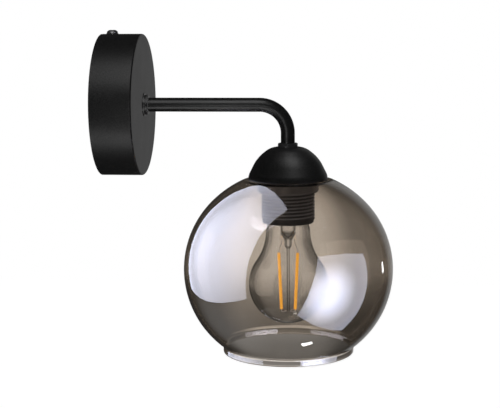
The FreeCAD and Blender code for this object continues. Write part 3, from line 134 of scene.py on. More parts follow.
class Value:
    """One output of a node, ready for arithmetic."""

    def __init__(self, tree, socket):
        self.tree = tree
        self.socket = socket

    def __add__(self, other):
        return self.tree.maths("ADD", self, other)

    __radd__ = __add__

    def __mul__(self, other):
        return self.tree.maths("MULTIPLY", self, other)

    __rmul__ = __mul__

    def __sub__(self, other):
        return self.tree.maths("SUBTRACT", self, other)

    def __rsub__(self, other):
        return self.tree.maths("SUBTRACT", other, self)

    def output(self, name):
        """Another output of the same node."""
        return Value(self.tree, self.socket.node.outputs[name])


class Tree:
    """A node tree that is built one node at a time."""

    def __init__(self, owner):
        owner.use_nodes = True
        self.nodes = owner.node_tree.nodes
        self.links = owner.node_tree.links
        self.nodes.clear()

    def add(self, kind, sockets=None, output=0, **settings):
        """Adds a node and returns one of its outputs."""
        node = self.nodes.new(kind)
        for name, setting in settings.items():
            setattr(node, name, setting)
        for name, given in (sockets or {}).items():
            if isinstance(given, Value):
                self.links.new(given.socket, node.inputs[name])
            elif isinstance(given, tuple) and len(given) < len(node.inputs[name].default_value):
                node.inputs[name].default_value = (*given, 1.0)
            else:
                node.inputs[name].default_value = given
        return Value(self, node.outputs[output]) if node.outputs else None

    def maths(self, operation, first, second):
        return self.add("ShaderNodeMath", {0: first, 1: second}, operation=operation)

    def blend(self, factor, first, second):
        """Goes from the first colour to the second as the factor goes from 0 to 1."""
        sockets = {MIX_FACTOR: factor, MIX_A: first, MIX_B: second}
        return self.add("ShaderNodeMix", sockets, output=MIX_COLOUR, data_type="RGBA")

    def step(self, value, low, high, first=0.0, second=1.0):
        """A smooth step from one number to another while the value goes from low to high."""
        sockets = {"Value": value, "From Min": low, "From Max": high, "To Min": first, "To Max": second}
        return self.add("ShaderNodeMapRange", sockets, interpolation_type="SMOOTHSTEP")


print("node helpers ready")

# %% [markdown]
# The photograph has a pure white background and no shadow. A real sconce hangs at about
# head height, so a pale floor that far below is honest and keeps its shadow out of the
# picture. White comes from what the camera sees and not from more light. What the glass
# shows is another matter: through it one sees a lit backdrop that is bright only behind
# the lamp and falls off to the sides, up and down, and that dark surround is what draws
# the dark edges of clear glass. Gloss mirrors a dark room with a glow on the right. Each
# edge below is a range of the direction's own X or Z over which the light falls off.

# %% World and floor
FLOOR_DROP = 1600
FLOOR_SIZE = 14000
FLOOR_GREY = (0.80, 0.84)
FLOOR_GLOW = 0.8
AMBIENT = 0.25
SURROUND = 0.40
LEFT_EDGE = (-0.160, -0.115)
RIGHT_EDGE = (-0.050, -0.002)
LOW_EDGE = (-0.240, -0.180)
LOWEST_EDGE = (-0.270, -0.228)
LOWEST_LEVEL = 0.60
HIGH_EDGE = (-0.13, -0.03)
ROOM_DARK, ROOM_GLOW = 0.03, 0.43
GLOW_EDGE = (-0.05, 0.20)
BEHIND_EDGE = (0.70, 0.95)


def backdrop(tree, across, up):
    """How bright the backdrop is through the glass, by the direction that a ray leaves in."""
    left = tree.step(across, *LEFT_EDGE, SURROUND, 1.0)
    right = tree.step(across, *RIGHT_EDGE, 1.0, SURROUND)
    low = tree.step(up, *LOW_EDGE, SURROUND, 1.0)
    lowest = tree.step(up, *LOWEST_EDGE, LOWEST_LEVEL, 1.0)
    high = tree.step(up, *HIGH_EDGE, 1.0, SURROUND)
    return left * right * low * lowest * high


def mirrored_room(tree, across, away):
    """How bright the room is in gloss: dark, with a glow behind the sconce on the right."""
    to_the_right = tree.step(across, *GLOW_EDGE)
    behind = tree.step(away, *BEHIND_EDGE)
    return tree.step(to_the_right * behind, 0.0, 1.0, ROOM_DARK, ROOM_GLOW)


def studio_world():
    world = bpy.data.worlds.new("studio")
    bpy.context.scene.world = world
    tree = Tree(world)
    camera_ray = tree.add("ShaderNodeLightPath", output="Is Camera Ray")
    through = camera_ray.output("Is Transmission Ray")
    mirrored = camera_ray.output("Is Glossy Ray") * (1 - through)
    direction = tree.add("ShaderNodeTexCoord", output="Generated")
    across = tree.add("ShaderNodeSeparateXYZ", {0: direction}, output="X")
    away, up = across.output("Y"), across.output("Z")
    seen = backdrop(tree, across, up) * through + mirrored_room(tree, across, away) * mirrored
    lit = AMBIENT * (1 - through) * (1 - mirrored)
    strength = camera_ray + (1 - camera_ray) * (lit + seen)
    background = tree.add("ShaderNodeBackground", {"Color": WHITE, "Strength": strength})
    tree.add("ShaderNodeOutputWorld", {"Surface": background})


def floor_material():
    """Pale, with just enough glow to the camera to reach white where no shadow falls."""
    material = bpy.data.materials.new("floor")
    tree = Tree(material)
    speckle = tree.add("ShaderNodeTexNoise", {"Scale": 40.0})
    darker, lighter = FLOOR_GREY
    colour = tree.blend(speckle, (darker, darker, darker), (lighter, lighter, lighter))
    matt = tree.add("ShaderNodeBsdfDiffuse", {"Color": colour})
    to_camera = tree.add("ShaderNodeLightPath", output="Is Camera Ray")
    glow = tree.add("ShaderNodeEmission", {"Color": WHITE, "Strength": FLOOR_GLOW * to_camera})
    both = tree.add("ShaderNodeAddShader", {0: matt, 1: glow})
    tree.add("ShaderNodeOutputMaterial", {"Surface": both})
    return material


studio_world()
bpy.ops.mesh.primitive_plane_add(size=FLOOR_SIZE * MM, location=(0, 0, -FLOOR_DROP * MM))
floor = bpy.context.object
floor.name = "floor"
floor.data.materials.append(floor_material())
floor.visible_transmission = False
floor.visible_glossy = False
floor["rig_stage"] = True
print("floor", FLOOR_SIZE / 1000, "m wide,", FLOOR_DROP, "mm below the arm")

# %% [markdown]
# Two soft boxes light the glass, and the globe mirrors both: a tall one high on the left
# and one low on the right. A mirrored corner on a ball fixes the direction of the lamp's
# corner, so each box was placed by following the rays from the photograph's reflections
# back to a flat rectangle a metre away. A soft box isn't even: its flash tube shows as a
# hot spot through the cloth. The globe's far wall mirrors the boxes too, and in the
# photograph that image is faint, so a dimmer twin stands in for each box wherever one looks
# through glass. The left twin is also narrower and further forward, which puts its image
# where the photograph has it. A faded box low on the left stands for light off a wall, and
# two small bright windows give the globe its glints. On the black parts, broad strips above
# and below the camera and a short one beside the arm's end draw the highlights, and one
# overhead gives the dome its satin sheen. Such a photograph is often put together from
# several exposures, and light groups do the same here: a lamp lights only its own group.

# %% Lamps
frame_group = bpy.data.collections.new("frame_group")
dome_group = bpy.data.collections.new("dome_group")
globe_group = bpy.data.collections.new("globe_group")
frame_group.objects.link(floor)
COLD = (0.79, 0.82, 1.0)


def aimed_at(place, target):
    """The turn in degrees of a lamp at place whose light goes to target."""
    way = Vector(target) - Vector(place)
    return [math.degrees(angle) for angle in way.to_track_quat("-Z", "Y").to_euler()]


def hot_spot_cloth(light, across, up, reach, middle_gain, edge_gain):
    """Makes a lamp's middle, at a place from 0 to 1 on its face, brighter than its rim."""
    tree = Tree(light)
    place_on_lamp = tree.add("ShaderNodeNewGeometry", output="Parametric")
    sockets = {0: place_on_lamp, 1: (across, up, 0.0)}
    distance = tree.add("ShaderNodeVectorMath", sockets, output="Value", operation="DISTANCE")
    strength = tree.step(distance, 0.0, reach, middle_gain, edge_gain)
    cloth = tree.add("ShaderNodeEmission", {"Color": WHITE, "Strength": strength})
    tree.add("ShaderNodeOutputLight", {"Surface": cloth})


def soft_box(name, group, place, turn, size, radiance, colour=WHITE, hot_spot=None, through_glass=False):
    """A lamp for one group of pieces. It shows either as gloss on them or through their glass."""
    light = bpy.data.lights.new(name, "AREA")
    light.shape = "RECTANGLE"
    light.size, light.size_y = (length * MM for length in size)
    light.energy = radiance * math.pi * light.size * light.size_y
    light.color = colour
    if hot_spot:
        hot_spot_cloth(light, **hot_spot)
    lamp = bpy.data.objects.new(name, light)
    bpy.context.collection.objects.link(lamp)
    lamp.location = Vector(place) * MM
    lamp.rotation_euler = [math.radians(angle) for angle in turn]
    lamp.visible_camera = False
    lamp.visible_transmission = through_glass
    lamp.visible_glossy = lamp.visible_diffuse = not through_glass
    lamp.light_linking.receiver_collection = group
    print(name, "shines", round(light.energy), "W on", group.name)


LEFT_PLACE, LEFT_TURN = (-496, 455, 512), (72.3, -5.2, -66.7)
LEFT_SIZE = (1865, 2191)
LEFT_RADIANCE = 5.0
LEFT_HOT_SPOT = {"across": 0.75, "up": 0.30, "reach": 0.45, "middle_gain": 2.9, "edge_gain": 1.0}
soft_box("left_box", globe_group, LEFT_PLACE, LEFT_TURN, LEFT_SIZE, LEFT_RADIANCE, COLD, LEFT_HOT_SPOT)

RIGHT_PLACE, RIGHT_TURN = (982, -438, -413), (106.5, 10.2, 61.1)
RIGHT_SIZE = (1331, 1570)
RIGHT_RADIANCE = 5.5
RIGHT_HOT_SPOT = {"across": 0.31, "up": 0.45, "reach": 0.50, "middle_gain": 5.1, "edge_gain": 1.0}
soft_box("right_box", globe_group, RIGHT_PLACE, RIGHT_TURN, RIGHT_SIZE, RIGHT_RADIANCE, COLD, RIGHT_HOT_SPOT)

TWIN_PLACE = (-312, 29, 554)
TWIN_SIZE = (932, 2191)
soft_box("left_ghost", globe_group, TWIN_PLACE, LEFT_TURN, TWIN_SIZE, radiance=2.0, through_glass=True)
soft_box("right_ghost", globe_group, RIGHT_PLACE, RIGHT_TURN, RIGHT_SIZE, radiance=2.6, through_glass=True)

BOUNCE_PLACE = (-542, -90, -703)
BOUNCE_TURN = aimed_at(BOUNCE_PLACE, target=(133, 0, -118))
BOUNCE_SIZE = (1800, 1800)
FADED = {"across": 0.5, "up": 0.5, "reach": 0.5, "middle_gain": 1.4, "edge_gain": 0.0}
soft_box("left_bounce", globe_group, BOUNCE_PLACE, BOUNCE_TURN, BOUNCE_SIZE, radiance=0.6, hot_spot=FADED)


def aimed_box(name, group, place, target, size, radiance):
    soft_box(name, group, place, aimed_at(place, target), size, radiance)


aimed_box("low_window", globe_group, (370, -66, -1134), target=(150, -60, -158), size=(90, 130), radiance=25)
aimed_box("rear_window", globe_group, (980, 600, -206), target=(199, -33, -111), size=(60, 110), radiance=12)
aimed_box("leg_strip", frame_group, (60, -239, -42), target=(133, 0, -30), size=(50, 120), radiance=2.6)
aimed_box("top_strip", frame_group, (20, -430, 600), target=(80, 0, 0), size=(300, 600), radiance=2.7)
aimed_box("bottom_strip", frame_group, (-20, -420, -500), target=(50, 0, 0), size=(300, 300), radiance=2.7)
aimed_box("dome_light", dome_group, (270, -210, 600), target=(133, -20, -40), size=(300, 500), radiance=3.6)

# %% [markdown]
# Most visible pieces are turned parts. In Blender such a skin is made like on a lathe: a
# circle is added at its real place, and then each ring is extruded along the axis and
# scaled to its new radius. Corners are rounded in the profile before turning, so that the
# rounding has the radius of the real part. A wall gets its thickness afterwards. Normals
# are weighted by area, because next to a small rounding a flat face would otherwise bend
# light like a lens. Pieces that start nearer to the wall than WALL_SIDE don't show in the
# photographed reflections. The two levels below part the groups of pieces that the lamps
# light: a piece belongs to the globe, the dome or the frame by where its top is.

# %% Modelling helpers
RING_STEPS = 160
WELD = 0.001
SMOOTH_ANGLE = math.radians(35)
WALL_SIDE = 40.0
DOME_LEVEL = -29.0
GLOBE_ROOM_TOP = -46.0


def only(piece):
    """Selects one object and nothing else."""
    bpy.ops.object.select_all(action="DESELECT")
    piece.select_set(True)
    bpy.context.view_layer.objects.active = piece


def arc(across, up, radius, start, end, steps):
    """Points on an arc as (radius, height), with its angles in degrees."""
    angles = [math.radians(start + (end - start) * step / steps) for step in range(steps + 1)]
    return [(across + radius * math.cos(angle), up + radius * math.sin(angle)) for angle in angles]


def rounded(profile, radii, steps):
    """The profile with some of its corners, by number, replaced by arcs of a radius."""
    points = []
    for number, corner in enumerate(profile):
        if number not in radii:
            points.append(corner)
            continue
        here = Vector(corner)
        back = (Vector(profile[number - 1]) - here).normalized()
        ahead = (Vector(profile[number + 1]) - here).normalized()
        half = back.angle(ahead) / 2
        centre = here + (back + ahead).normalized() * radii[number] / math.sin(half)
        reach = radii[number] / math.tan(half)
        first, last = here + back * reach - centre, here + ahead * reach - centre
        turn = -first.angle_signed(last)
        for step in range(steps + 1):
            points.append(tuple(centre + Matrix.Rotation(turn * step / steps, 2) @ first))
    return points


def turned(name, profile, base=(0, 0, 0), axis=UP, steps=RING_STEPS):
    """A skin turned round an axis through base, from (radius, height) pairs."""
    (radius, height), *rest = profile
    centre = (Vector(base) + axis * height) * MM
    turn = UP.rotation_difference(axis).to_euler()
    bpy.ops.object.select_all(action="DESELECT")
    bpy.ops.mesh.primitive_circle_add(vertices=steps, radius=radius * MM, location=centre, rotation=turn)
    skin = bpy.context.object
    skin.name = skin.data.name = name
    bpy.ops.object.transform_apply(location=True, rotation=True, scale=True)
    bpy.ops.object.mode_set(mode="EDIT")
    for next_radius, next_height in rest:
        rise = axis * (next_height - height) * MM
        centre = centre + rise
        bpy.ops.mesh.extrude_region_move(TRANSFORM_OT_translate={"value": rise})
        if next_radius:
            factor = next_radius / radius
            bpy.ops.transform.resize(value=(factor, factor, factor), center_override=centre)
        else:
            bpy.ops.mesh.merge(type="CENTER")
        radius, height = next_radius, next_height
    bpy.ops.mesh.select_all(action="SELECT")
    bpy.ops.mesh.normals_make_consistent(inside=False)
    bpy.ops.object.mode_set(mode="OBJECT")
    return skin


def modified(piece, kind, **settings):
    """Adds a modifier with its settings and applies it."""
    only(piece)
    modifier = piece.modifiers.new(kind.lower(), kind)
    for name, setting in settings.items():
        setattr(modifier, name, setting)
    bpy.ops.object.modifier_apply(modifier=modifier.name)
    return piece


def walled(skin, thickness):
    """Gives a skin its wall, inwards from the outer side."""
    return modified(skin, "SOLIDIFY", thickness=thickness * MM, offset=-1, use_even_offset=True)


def eased(piece, wanted, width, segments):
    """Bevels the edges whose two ends both pass a test on their place in millimetres."""
    only(piece)
    bpy.ops.object.mode_set(mode="EDIT")
    bpy.ops.mesh.select_mode(type="EDGE")
    bpy.ops.mesh.select_all(action="DESELECT")
    bpy.ops.object.mode_set(mode="OBJECT")
    chosen = [wanted(vertex.co / MM) for vertex in piece.data.vertices]
    for edge in piece.data.edges:
        edge.select = chosen[edge.vertices[0]] and chosen[edge.vertices[1]]
    bpy.ops.object.mode_set(mode="EDIT")
    bpy.ops.mesh.bevel(offset=width * MM, segments=segments, affect="EDGES")
    bpy.ops.object.mode_set(mode="OBJECT")
    return piece


def light_group(node):
    """The lamps' group of a piece, by the height of its solid."""
    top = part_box(node)[1].z / MM
    if top < GLOBE_ROOM_TOP:
        return globe_group
    return dome_group if top < DOME_LEVEL else frame_group


def finished(piece, finish, node):
    """Shades a piece, gives it its finish and lets it ride in place of its CAD node."""
    only(piece)
    bpy.ops.object.shade_smooth_by_angle(angle=SMOOTH_ANGLE)
    modified(piece, "WEIGHTED_NORMAL", keep_sharp=True)
    piece.data.materials.clear()
    piece.data.materials.append(finish)
    piece.visible_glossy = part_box(node)[0].x > WALL_SIDE * MM
    light_group(node).objects.link(piece)
    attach(piece, body_of[node])
    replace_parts(piece, node)
    print(piece.name, "has", len(piece.data.polygons), "faces and rides on", body_of[node])


def merged_copy(node):
    """A copy of a CAD node whose loose triangles are joined, so that it can be shaded smooth."""
    only(nodes_of_cad[node])
    bpy.ops.object.duplicate()
    copy = bpy.context.object
    copy.name = copy.data.name = node + "_body"
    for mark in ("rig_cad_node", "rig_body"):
        del copy[mark]
    copy.parent = None
    bpy.ops.object.mode_set(mode="EDIT")
    bpy.ops.mesh.select_all(action="SELECT")
    bpy.ops.mesh.remove_doubles(threshold=WELD * MM)
    bpy.ops.object.mode_set(mode="OBJECT")
    return copy


# %% [markdown]
# Every finish starts with patterns in the piece's own coordinates, at the size that the
# real grain has. A pattern may change the colour, the roughness and the small bumps, and
# numbers that are the same all over are set on the shader itself.

# %% Finish helpers


def new_finish(name):
    material = bpy.data.materials.new(name)
    return material, Tree(material)


def clouds(tree, size, detail=2.0, roughness=0.5, stretch=(1.0, 1.0, 1.0)):
    """Soft noise whose lumps are about size millimetres across, from 0 to 1."""
    place = tree.add("ShaderNodeTexCoord", output="Object")
    scale = tuple(factor / (size * MM) for factor in stretch)
    spread = tree.add("ShaderNodeMapping", {"Vector": place, "Scale": scale})
    sockets = {"Vector": spread, "Scale": 1.0, "Detail": detail, "Roughness": roughness}
    return tree.add("ShaderNodeTexNoise", sockets)


def surface(tree, sockets, height, depth):
    """Ends a tree with its shader, and a bump whose depth is in millimetres."""
    bump = tree.add("ShaderNodeBump", {"Height": height, "Distance": depth * MM, "Strength": 1.0})
    shader = tree.add("ShaderNodeBsdfPrincipled", {**sockets, "Normal": bump})
    tree.add("ShaderNodeOutputMaterial", {"Surface": shader})


print("finish helpers ready")

# %% [markdown]
# The canopy, the tube and the dome wear a black powder coat. Powder coat is baked dust:
# close up it shows an even orange peel nearly a millimetre across, and its sheen drifts a
# little from place to place. On the sheet parts it is more matt than on the drawn tube. It
# is black, but never as deep as gloss black.

# %% Black coats
PEEL_SIZE = 0.8
PEEL_DEPTH = 0.05
DRIFT_SIZE = 18.0


def black_coat(name, roughness, grain_level):
    material, tree = new_finish(name)
    peel = clouds(tree, PEEL_SIZE, detail=3.0)
    grain = tree.step(peel, 0.35, 0.65)
    gloss = roughness + 0.06 * clouds(tree, DRIFT_SIZE) + 0.08 * peel
    colour = tree.blend(grain, (0.002, 0.002, 0.0022), (grain_level, grain_level, grain_level))
    sockets = {"Base Color": colour, "Roughness": gloss, "Specular IOR Level": 0.45}
    surface(tree, sockets, height=peel, depth=PEEL_DEPTH)
    return material


def black_nut():
    material, tree = new_finish("black_nut")
    haze = clouds(tree, size=2.5, detail=4.0)
    colour = tree.blend(haze, (0.02, 0.02, 0.021), (0.035, 0.035, 0.036))
    surface(tree, {"Base Color": colour, "Roughness": 0.28 + 0.14 * haze}, height=haze, depth=0.02)
    return material


# %% [markdown]
# Bare metals differ by colour and by how their surface was made. Rolled or drawn metal has
# fine lines along one direction, plating has a soft cloudy tint, and both make the gloss
# uneven. One function covers them all, with the lines as stretched noise.

# %% Metals
LINE_SIZE = 0.25
LINE_STRETCH = (1.0, 12.0, 1.0)


def metal(name, dark, bright, roughness):
    material, tree = new_finish(name)
    cloud = clouds(tree, size=6.0, detail=3.0)
    lines = clouds(tree, LINE_SIZE, stretch=LINE_STRETCH)
    gloss = roughness + 0.14 * cloud + 0.10 * lines
    sockets = {"Base Color": tree.blend(cloud, dark, bright), "Roughness": gloss, "Metallic": 1.0}
    surface(tree, sockets, height=lines, depth=0.01)
    return material


# %% [markdown]
# Moulded plastic and ceramic carry the faint texture of their mould. Plastic is smooth with
# slow waves, unglazed ceramic is grainy with a few darker specks. The earth wire has two
# colours, split along its length: it lies in the plane Y = 0, so the sign of Y tells on
# which side of the wire a point is.

# %% Plastics and ceramic
LAMP_X = 132.8
THREAD_ROOT, THREAD_CREST = 18.5, 19.1
STRIPE_BLUR = 0.15
WAVE_SIZE = 1.2
WAVE_DEPTH = 0.02


def plastic(name, dark, bright, roughness):
    material, tree = new_finish(name)
    wave = clouds(tree, WAVE_SIZE, detail=3.0)
    drift = clouds(tree, size=9.0)
    sockets = {"Base Color": tree.blend(drift, dark, bright), "Roughness": roughness + 0.10 * wave}
    surface(tree, sockets, height=wave, depth=WAVE_DEPTH)
    return material


def threaded_plastic():
    """Painted shade in the grooves of the thread round the lamp's axis, and a painted highlight, lighter and
    glossier, on its crests.
    """
    material, tree = new_finish("holder_thread")
    wave = clouds(tree, WAVE_SIZE, detail=3.0)
    place = tree.add("ShaderNodeTexCoord", output="Object")
    level = tree.add("ShaderNodeSeparateXYZ", {0: place}, output="Z")
    axis = tree.add("ShaderNodeCombineXYZ", {"X": LAMP_X * MM, "Z": level})
    radius = tree.add("ShaderNodeVectorMath", {0: place, 1: axis}, output="Value", operation="DISTANCE")
    # Painted shade and highlight: near black in the grooves, lighter grey on the crests and everything
    # further out.
    painted_crest_light = tree.step(radius, THREAD_ROOT * MM, THREAD_CREST * MM)
    colour = tree.blend(painted_crest_light, (0.002, 0.002, 0.002), (0.085, 0.085, 0.088))
    gloss = tree.step(painted_crest_light, 0.0, 1.0, 0.75, 0.18) + 0.08 * wave
    surface(tree, {"Base Color": colour, "Roughness": gloss}, height=wave, depth=WAVE_DEPTH)
    return material


def white_ceramic():
    material, tree = new_finish("white_ceramic")
    grit = clouds(tree, size=0.4, detail=4.0, roughness=0.7)
    specks = tree.step(clouds(tree, size=1.1, detail=1.0), 0.70, 0.76)
    body = tree.blend(grit, (0.74, 0.73, 0.69), (0.84, 0.83, 0.79))
    colour = tree.blend(specks, body, (0.45, 0.42, 0.36))
    surface(tree, {"Base Color": colour, "Roughness": 0.55 + 0.2 * grit}, height=grit, depth=0.04)
    return material


def striped_wire():
    material, tree = new_finish("wire_green_yellow")
    place = tree.add("ShaderNodeTexCoord", output="Object")
    side = tree.add("ShaderNodeSeparateXYZ", {0: place}, output="Y")
    yellow = tree.step(side, -STRIPE_BLUR * MM, STRIPE_BLUR * MM)
    haze = clouds(tree, size=1.5)
    colour = tree.blend(yellow, (0.03, 0.22, 0.04), (0.72, 0.58, 0.03))
    surface(tree, {"Base Color": colour, "Roughness": 0.38 + 0.12 * haze}, height=haze, depth=0.02)
    return material


# %% [markdown]
# The globe is blown glass with a smoke tint all through its wall. Its colour comes from the
# way that light travels inside it, so the rim of the ball, where one looks along the wall,
# is darker by itself: a volume absorbs light, and the surface only bends and mirrors it.
# Lamps shine through to the inside, because shadow rays meet a clear surface and pay only
# for the tint. The stem's glass bends light much less than real glass does, because behind
# so many other glass walls it would turn black.

# %% Glass
SMOKE_COLOUR = (0.37, 0.23, 0.06)
SMOKE_DENSITY = 300.0
GLASS_WALL = 2.0
SMEAR_ROUGHNESS = 0.02


def glass(name, ior, specular, smear_size, wave_depth, tint=None, density=0.0):
    """Glass with faint smears and waves in it, and a tint that deepens along the light's way."""
    material, tree = new_finish(name)
    smear = tree.step(clouds(tree, smear_size, detail=3.0), 0.45, 0.75)
    swell = clouds(tree, 2 * smear_size)
    wave = tree.add("ShaderNodeBump", {"Height": swell, "Distance": wave_depth * MM})
    solid = {
        "Base Color": WHITE,
        "Transmission Weight": 1.0,
        "IOR": ior,
        "Specular IOR Level": specular,
        "Roughness": SMEAR_ROUGHNESS * smear,
        "Normal": wave,
    }
    shader = tree.add("ShaderNodeBsdfPrincipled", solid)
    clear = tree.add("ShaderNodeBsdfTransparent", {"Color": WHITE})
    to_lamp = tree.add("ShaderNodeLightPath", output="Is Shadow Ray")
    mixed = tree.add("ShaderNodeMixShader", {0: to_lamp, 1: shader, 2: clear})
    sockets = {"Surface": mixed}
    if tint:
        sockets["Volume"] = tree.add("ShaderNodeVolumeAbsorption", {"Color": tint, "Density": density})
    tree.add("ShaderNodeOutputMaterial", sockets)
    return material


passed = math.exp(-SMOKE_DENSITY * GLASS_WALL * MM * (1 - SMOKE_COLOUR[1]))
print("one smoked wall lets", round(100 * passed), "% of green light through")

# %% [markdown]
# The light rods are glass threads with tiny chips under yellow phosphor. Unlit they look
# like dull orange chalk, and the photograph shows them a little brighter than the tinted
# glass before them would allow, so they glow very faintly.

# %% Light rod finish


def filament_yellow():
    material, tree = new_finish("filament_yellow")
    grain = clouds(tree, size=0.5, detail=3.0)
    colour = tree.blend(grain, (0.80, 0.36, 0.03), (0.92, 0.47, 0.06))
    sockets = {
        "Base Color": colour,
        "Roughness": 0.55 + 0.2 * grain,
        "Emission Color": colour,
        "Emission Strength": 0.6,
    }
    surface(tree, sockets, height=grain, depth=0.03)
    return material


# %% [markdown]
# All finishes are made here, once each. Their names are those of the material slots in the
# CAD model, so that a piece finds its own, and a few more serve pieces that look a little
# different from the rest of their slot. Metals and plastics give their darkest and their
# brightest colour.

# %% All finishes
finishes = {
    "black_coat": black_coat("black_coat", roughness=0.26, grain_level=0.014),
    "canopy_coat": black_coat("canopy_coat", roughness=0.35, grain_level=0.013),
    "dome_coat": black_coat("dome_coat", roughness=0.38, grain_level=0.014),
    "black_nut": black_nut(),
    "dark_steel": metal("dark_steel", (0.36, 0.36, 0.365), (0.50, 0.50, 0.51), roughness=0.25),
    "zinc_steel": metal("zinc_steel", (0.50, 0.51, 0.52), (0.64, 0.65, 0.66), roughness=0.28),
    "tinned_brass": metal("tinned_brass", (0.62, 0.61, 0.58), (0.76, 0.75, 0.72), roughness=0.22),
    "brass": metal("brass", (0.58, 0.38, 0.13), (0.80, 0.58, 0.26), roughness=0.22),
    "nickel": metal("nickel", (0.60, 0.58, 0.55), (0.74, 0.72, 0.69), roughness=0.16),
    "lead_wire": metal("lead_wire", (0.55, 0.53, 0.50), (0.70, 0.68, 0.65), roughness=0.18),
    "white_polyamide": plastic("white_polyamide", (0.74, 0.73, 0.69), (0.82, 0.81, 0.77), roughness=0.38),
    "wire_brown": plastic("wire_brown", (0.15, 0.06, 0.025), (0.22, 0.09, 0.035), roughness=0.38),
    "wire_blue": plastic("wire_blue", (0.03, 0.11, 0.38), (0.05, 0.15, 0.46), roughness=0.38),
    "wire_green_yellow": striped_wire(),
    "holder_black": plastic("holder_black", (0.010, 0.010, 0.0105), (0.016, 0.016, 0.0165), roughness=0.20),
    "holder_thread": threaded_plastic(),
    "white_ceramic": white_ceramic(),
    "cap_black": plastic("cap_black", (0.012, 0.011, 0.013), (0.02, 0.018, 0.02), roughness=0.12),
    "board_green": plastic("board_green", (0.02, 0.16, 0.06), (0.03, 0.21, 0.08), roughness=0.35),
    "smoked_glass": glass(
        "smoked_glass",
        ior=1.5,
        specular=0.9,
        smear_size=14.0,
        wave_depth=0.02,
        tint=SMOKE_COLOUR,
        density=SMOKE_DENSITY,
    ),
    "clear_glass": glass("clear_glass", ior=1.45, specular=0.5, smear_size=10.0, wave_depth=0.01),
    "stem_glass": glass("stem_glass", ior=1.10, specular=0.5, smear_size=4.0, wave_depth=0.02),
    "filament_yellow": filament_yellow(),
}
print(len(finishes), "finishes made")

# %% [markdown]
# The canopy is a shallow cup of sheet steel, drawn and drilled. It is turned as one skin
# along the arm's axis, gets the sheet's thickness inwards, and then a round-ended cutter
# takes out the notch for its screw.

# %% Canopy
ARM_HOLE = 5.05
CANOPY_RADIUS = 50.5
CANOPY_DEPTH = 29.5
CANOPY_WALL = 1.2
SCREW_X = 7.6
NOTCH_HALF = 2.2
FACE_ROUNDING = 1.2
CUTTER_REACH = 12.0


def make_canopy():
    corners = [(ARM_HOLE, CANOPY_DEPTH), (CANOPY_RADIUS, CANOPY_DEPTH), (CANOPY_RADIUS, 0)]
    profile = rounded(corners, {1: FACE_ROUNDING}, steps=6)
    canopy = walled(turned("canopy_cup", profile, axis=OUT), CANOPY_WALL)
    bpy.ops.object.select_all(action="DESELECT")
    bpy.ops.mesh.primitive_cylinder_add(
        vertices=48,
        radius=NOTCH_HALF * MM,
        depth=CUTTER_REACH * MM,
        location=(SCREW_X * MM, 0, CANOPY_RADIUS * MM),
    )
    cutter = bpy.context.object
    bpy.ops.object.transform_apply(location=True, rotation=True, scale=True)
    bpy.ops.object.mode_set(mode="EDIT")
    bpy.ops.mesh.select_mode(type="VERT")
    bpy.ops.mesh.select_all(action="DESELECT")
    bpy.ops.object.mode_set(mode="OBJECT")
    for vertex in cutter.data.vertices:
        vertex.select = vertex.co.x < (SCREW_X - TOUCH) * MM
    bpy.ops.object.mode_set(mode="EDIT")
    bpy.ops.transform.translate(value=(-CUTTER_REACH * MM, 0, 0))
    bpy.ops.object.mode_set(mode="OBJECT")
    modified(canopy, "BOOLEAN", operation="DIFFERENCE", solver="EXACT", object=cutter)
    bpy.data.objects.remove(cutter)
    finished(canopy, finishes["canopy_coat"], "canopy")


make_canopy()

# %% [markdown]
# The arm is one length of 10 mm tube. A circle is extruded along its straight run, spun a
# quarter turn round the bend's centre and extruded down into the holder's cap. The spin
# keeps the section round, as a mandrel does in a real tube bender.

# %% Arm
ARM_RADIUS = 5.0
BEND_RADIUS = 20.0
BEND_STEPS = 32
ARM_STEPS = 64
ARM_WALL = 1.0


def make_arm():
    low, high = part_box("arm_tube")
    start, end = low.x / MM, low.z / MM
    bend_x = LAMP_X - BEND_RADIUS
    arm = turned("arm_pipe", [(ARM_RADIUS, start), (ARM_RADIUS, bend_x)], axis=OUT, steps=ARM_STEPS)
    only(arm)
    bpy.ops.object.mode_set(mode="EDIT")
    bpy.ops.mesh.select_mode(type="EDGE")
    bpy.ops.mesh.select_all(action="DESELECT")
    bpy.ops.object.mode_set(mode="OBJECT")
    for edge in arm.data.edges:
        ends = [arm.data.vertices[corner].co.x for corner in edge.vertices]
        edge.select = min(ends) > (bend_x - TOUCH) * MM
    bpy.ops.object.mode_set(mode="EDIT")
    centre = (bend_x * MM, 0, -BEND_RADIUS * MM)
    bpy.ops.mesh.spin(steps=BEND_STEPS, angle=math.pi / 2, center=centre, axis=(0, -1, 0))
    bpy.ops.mesh.extrude_region_move(TRANSFORM_OT_translate={"value": (0, 0, (end + BEND_RADIUS) * MM)})
    bpy.ops.mesh.select_all(action="SELECT")
    bpy.ops.mesh.remove_doubles(threshold=WELD * MM)
    bpy.ops.mesh.normals_make_consistent(inside=False)
    bpy.ops.object.mode_set(mode="OBJECT")
    finished(walled(arm, ARM_WALL), finishes["black_coat"], "arm_tube")


make_arm()

# %% [markdown]
# The dome is a spun cap: a nearly flat crown, a sloping shoulder and an upright band at the
# rim, all run together by generous roundings. Its profile is written as straight runs with
# a radius at each corner, fitted to the outline in the photograph.

# %% Dome
DOME_TOP = -30.0
DOME_RIM = -53.1
DOME_WALL = 1.2
CROWN_EDGE, SHOULDER, BAND_TOP = (12.2, DOME_TOP), (22.1, -38.0), (28.3, -50.4)
DOME_RADIUS = BAND_TOP[0]
DOME_ROUNDINGS = {1: 14.0, 2: 26.0, 3: 10.0}


def make_dome():
    corners = [(ARM_HOLE, DOME_TOP), CROWN_EDGE, SHOULDER, BAND_TOP, (DOME_RADIUS, DOME_RIM)]
    profile = rounded(corners, DOME_ROUNDINGS, steps=14)
    dome = walled(turned("dome_spinning", profile, base=(LAMP_X, 0, 0)), DOME_WALL)
    finished(dome, finishes["dome_coat"], "dome_cap")


make_dome()

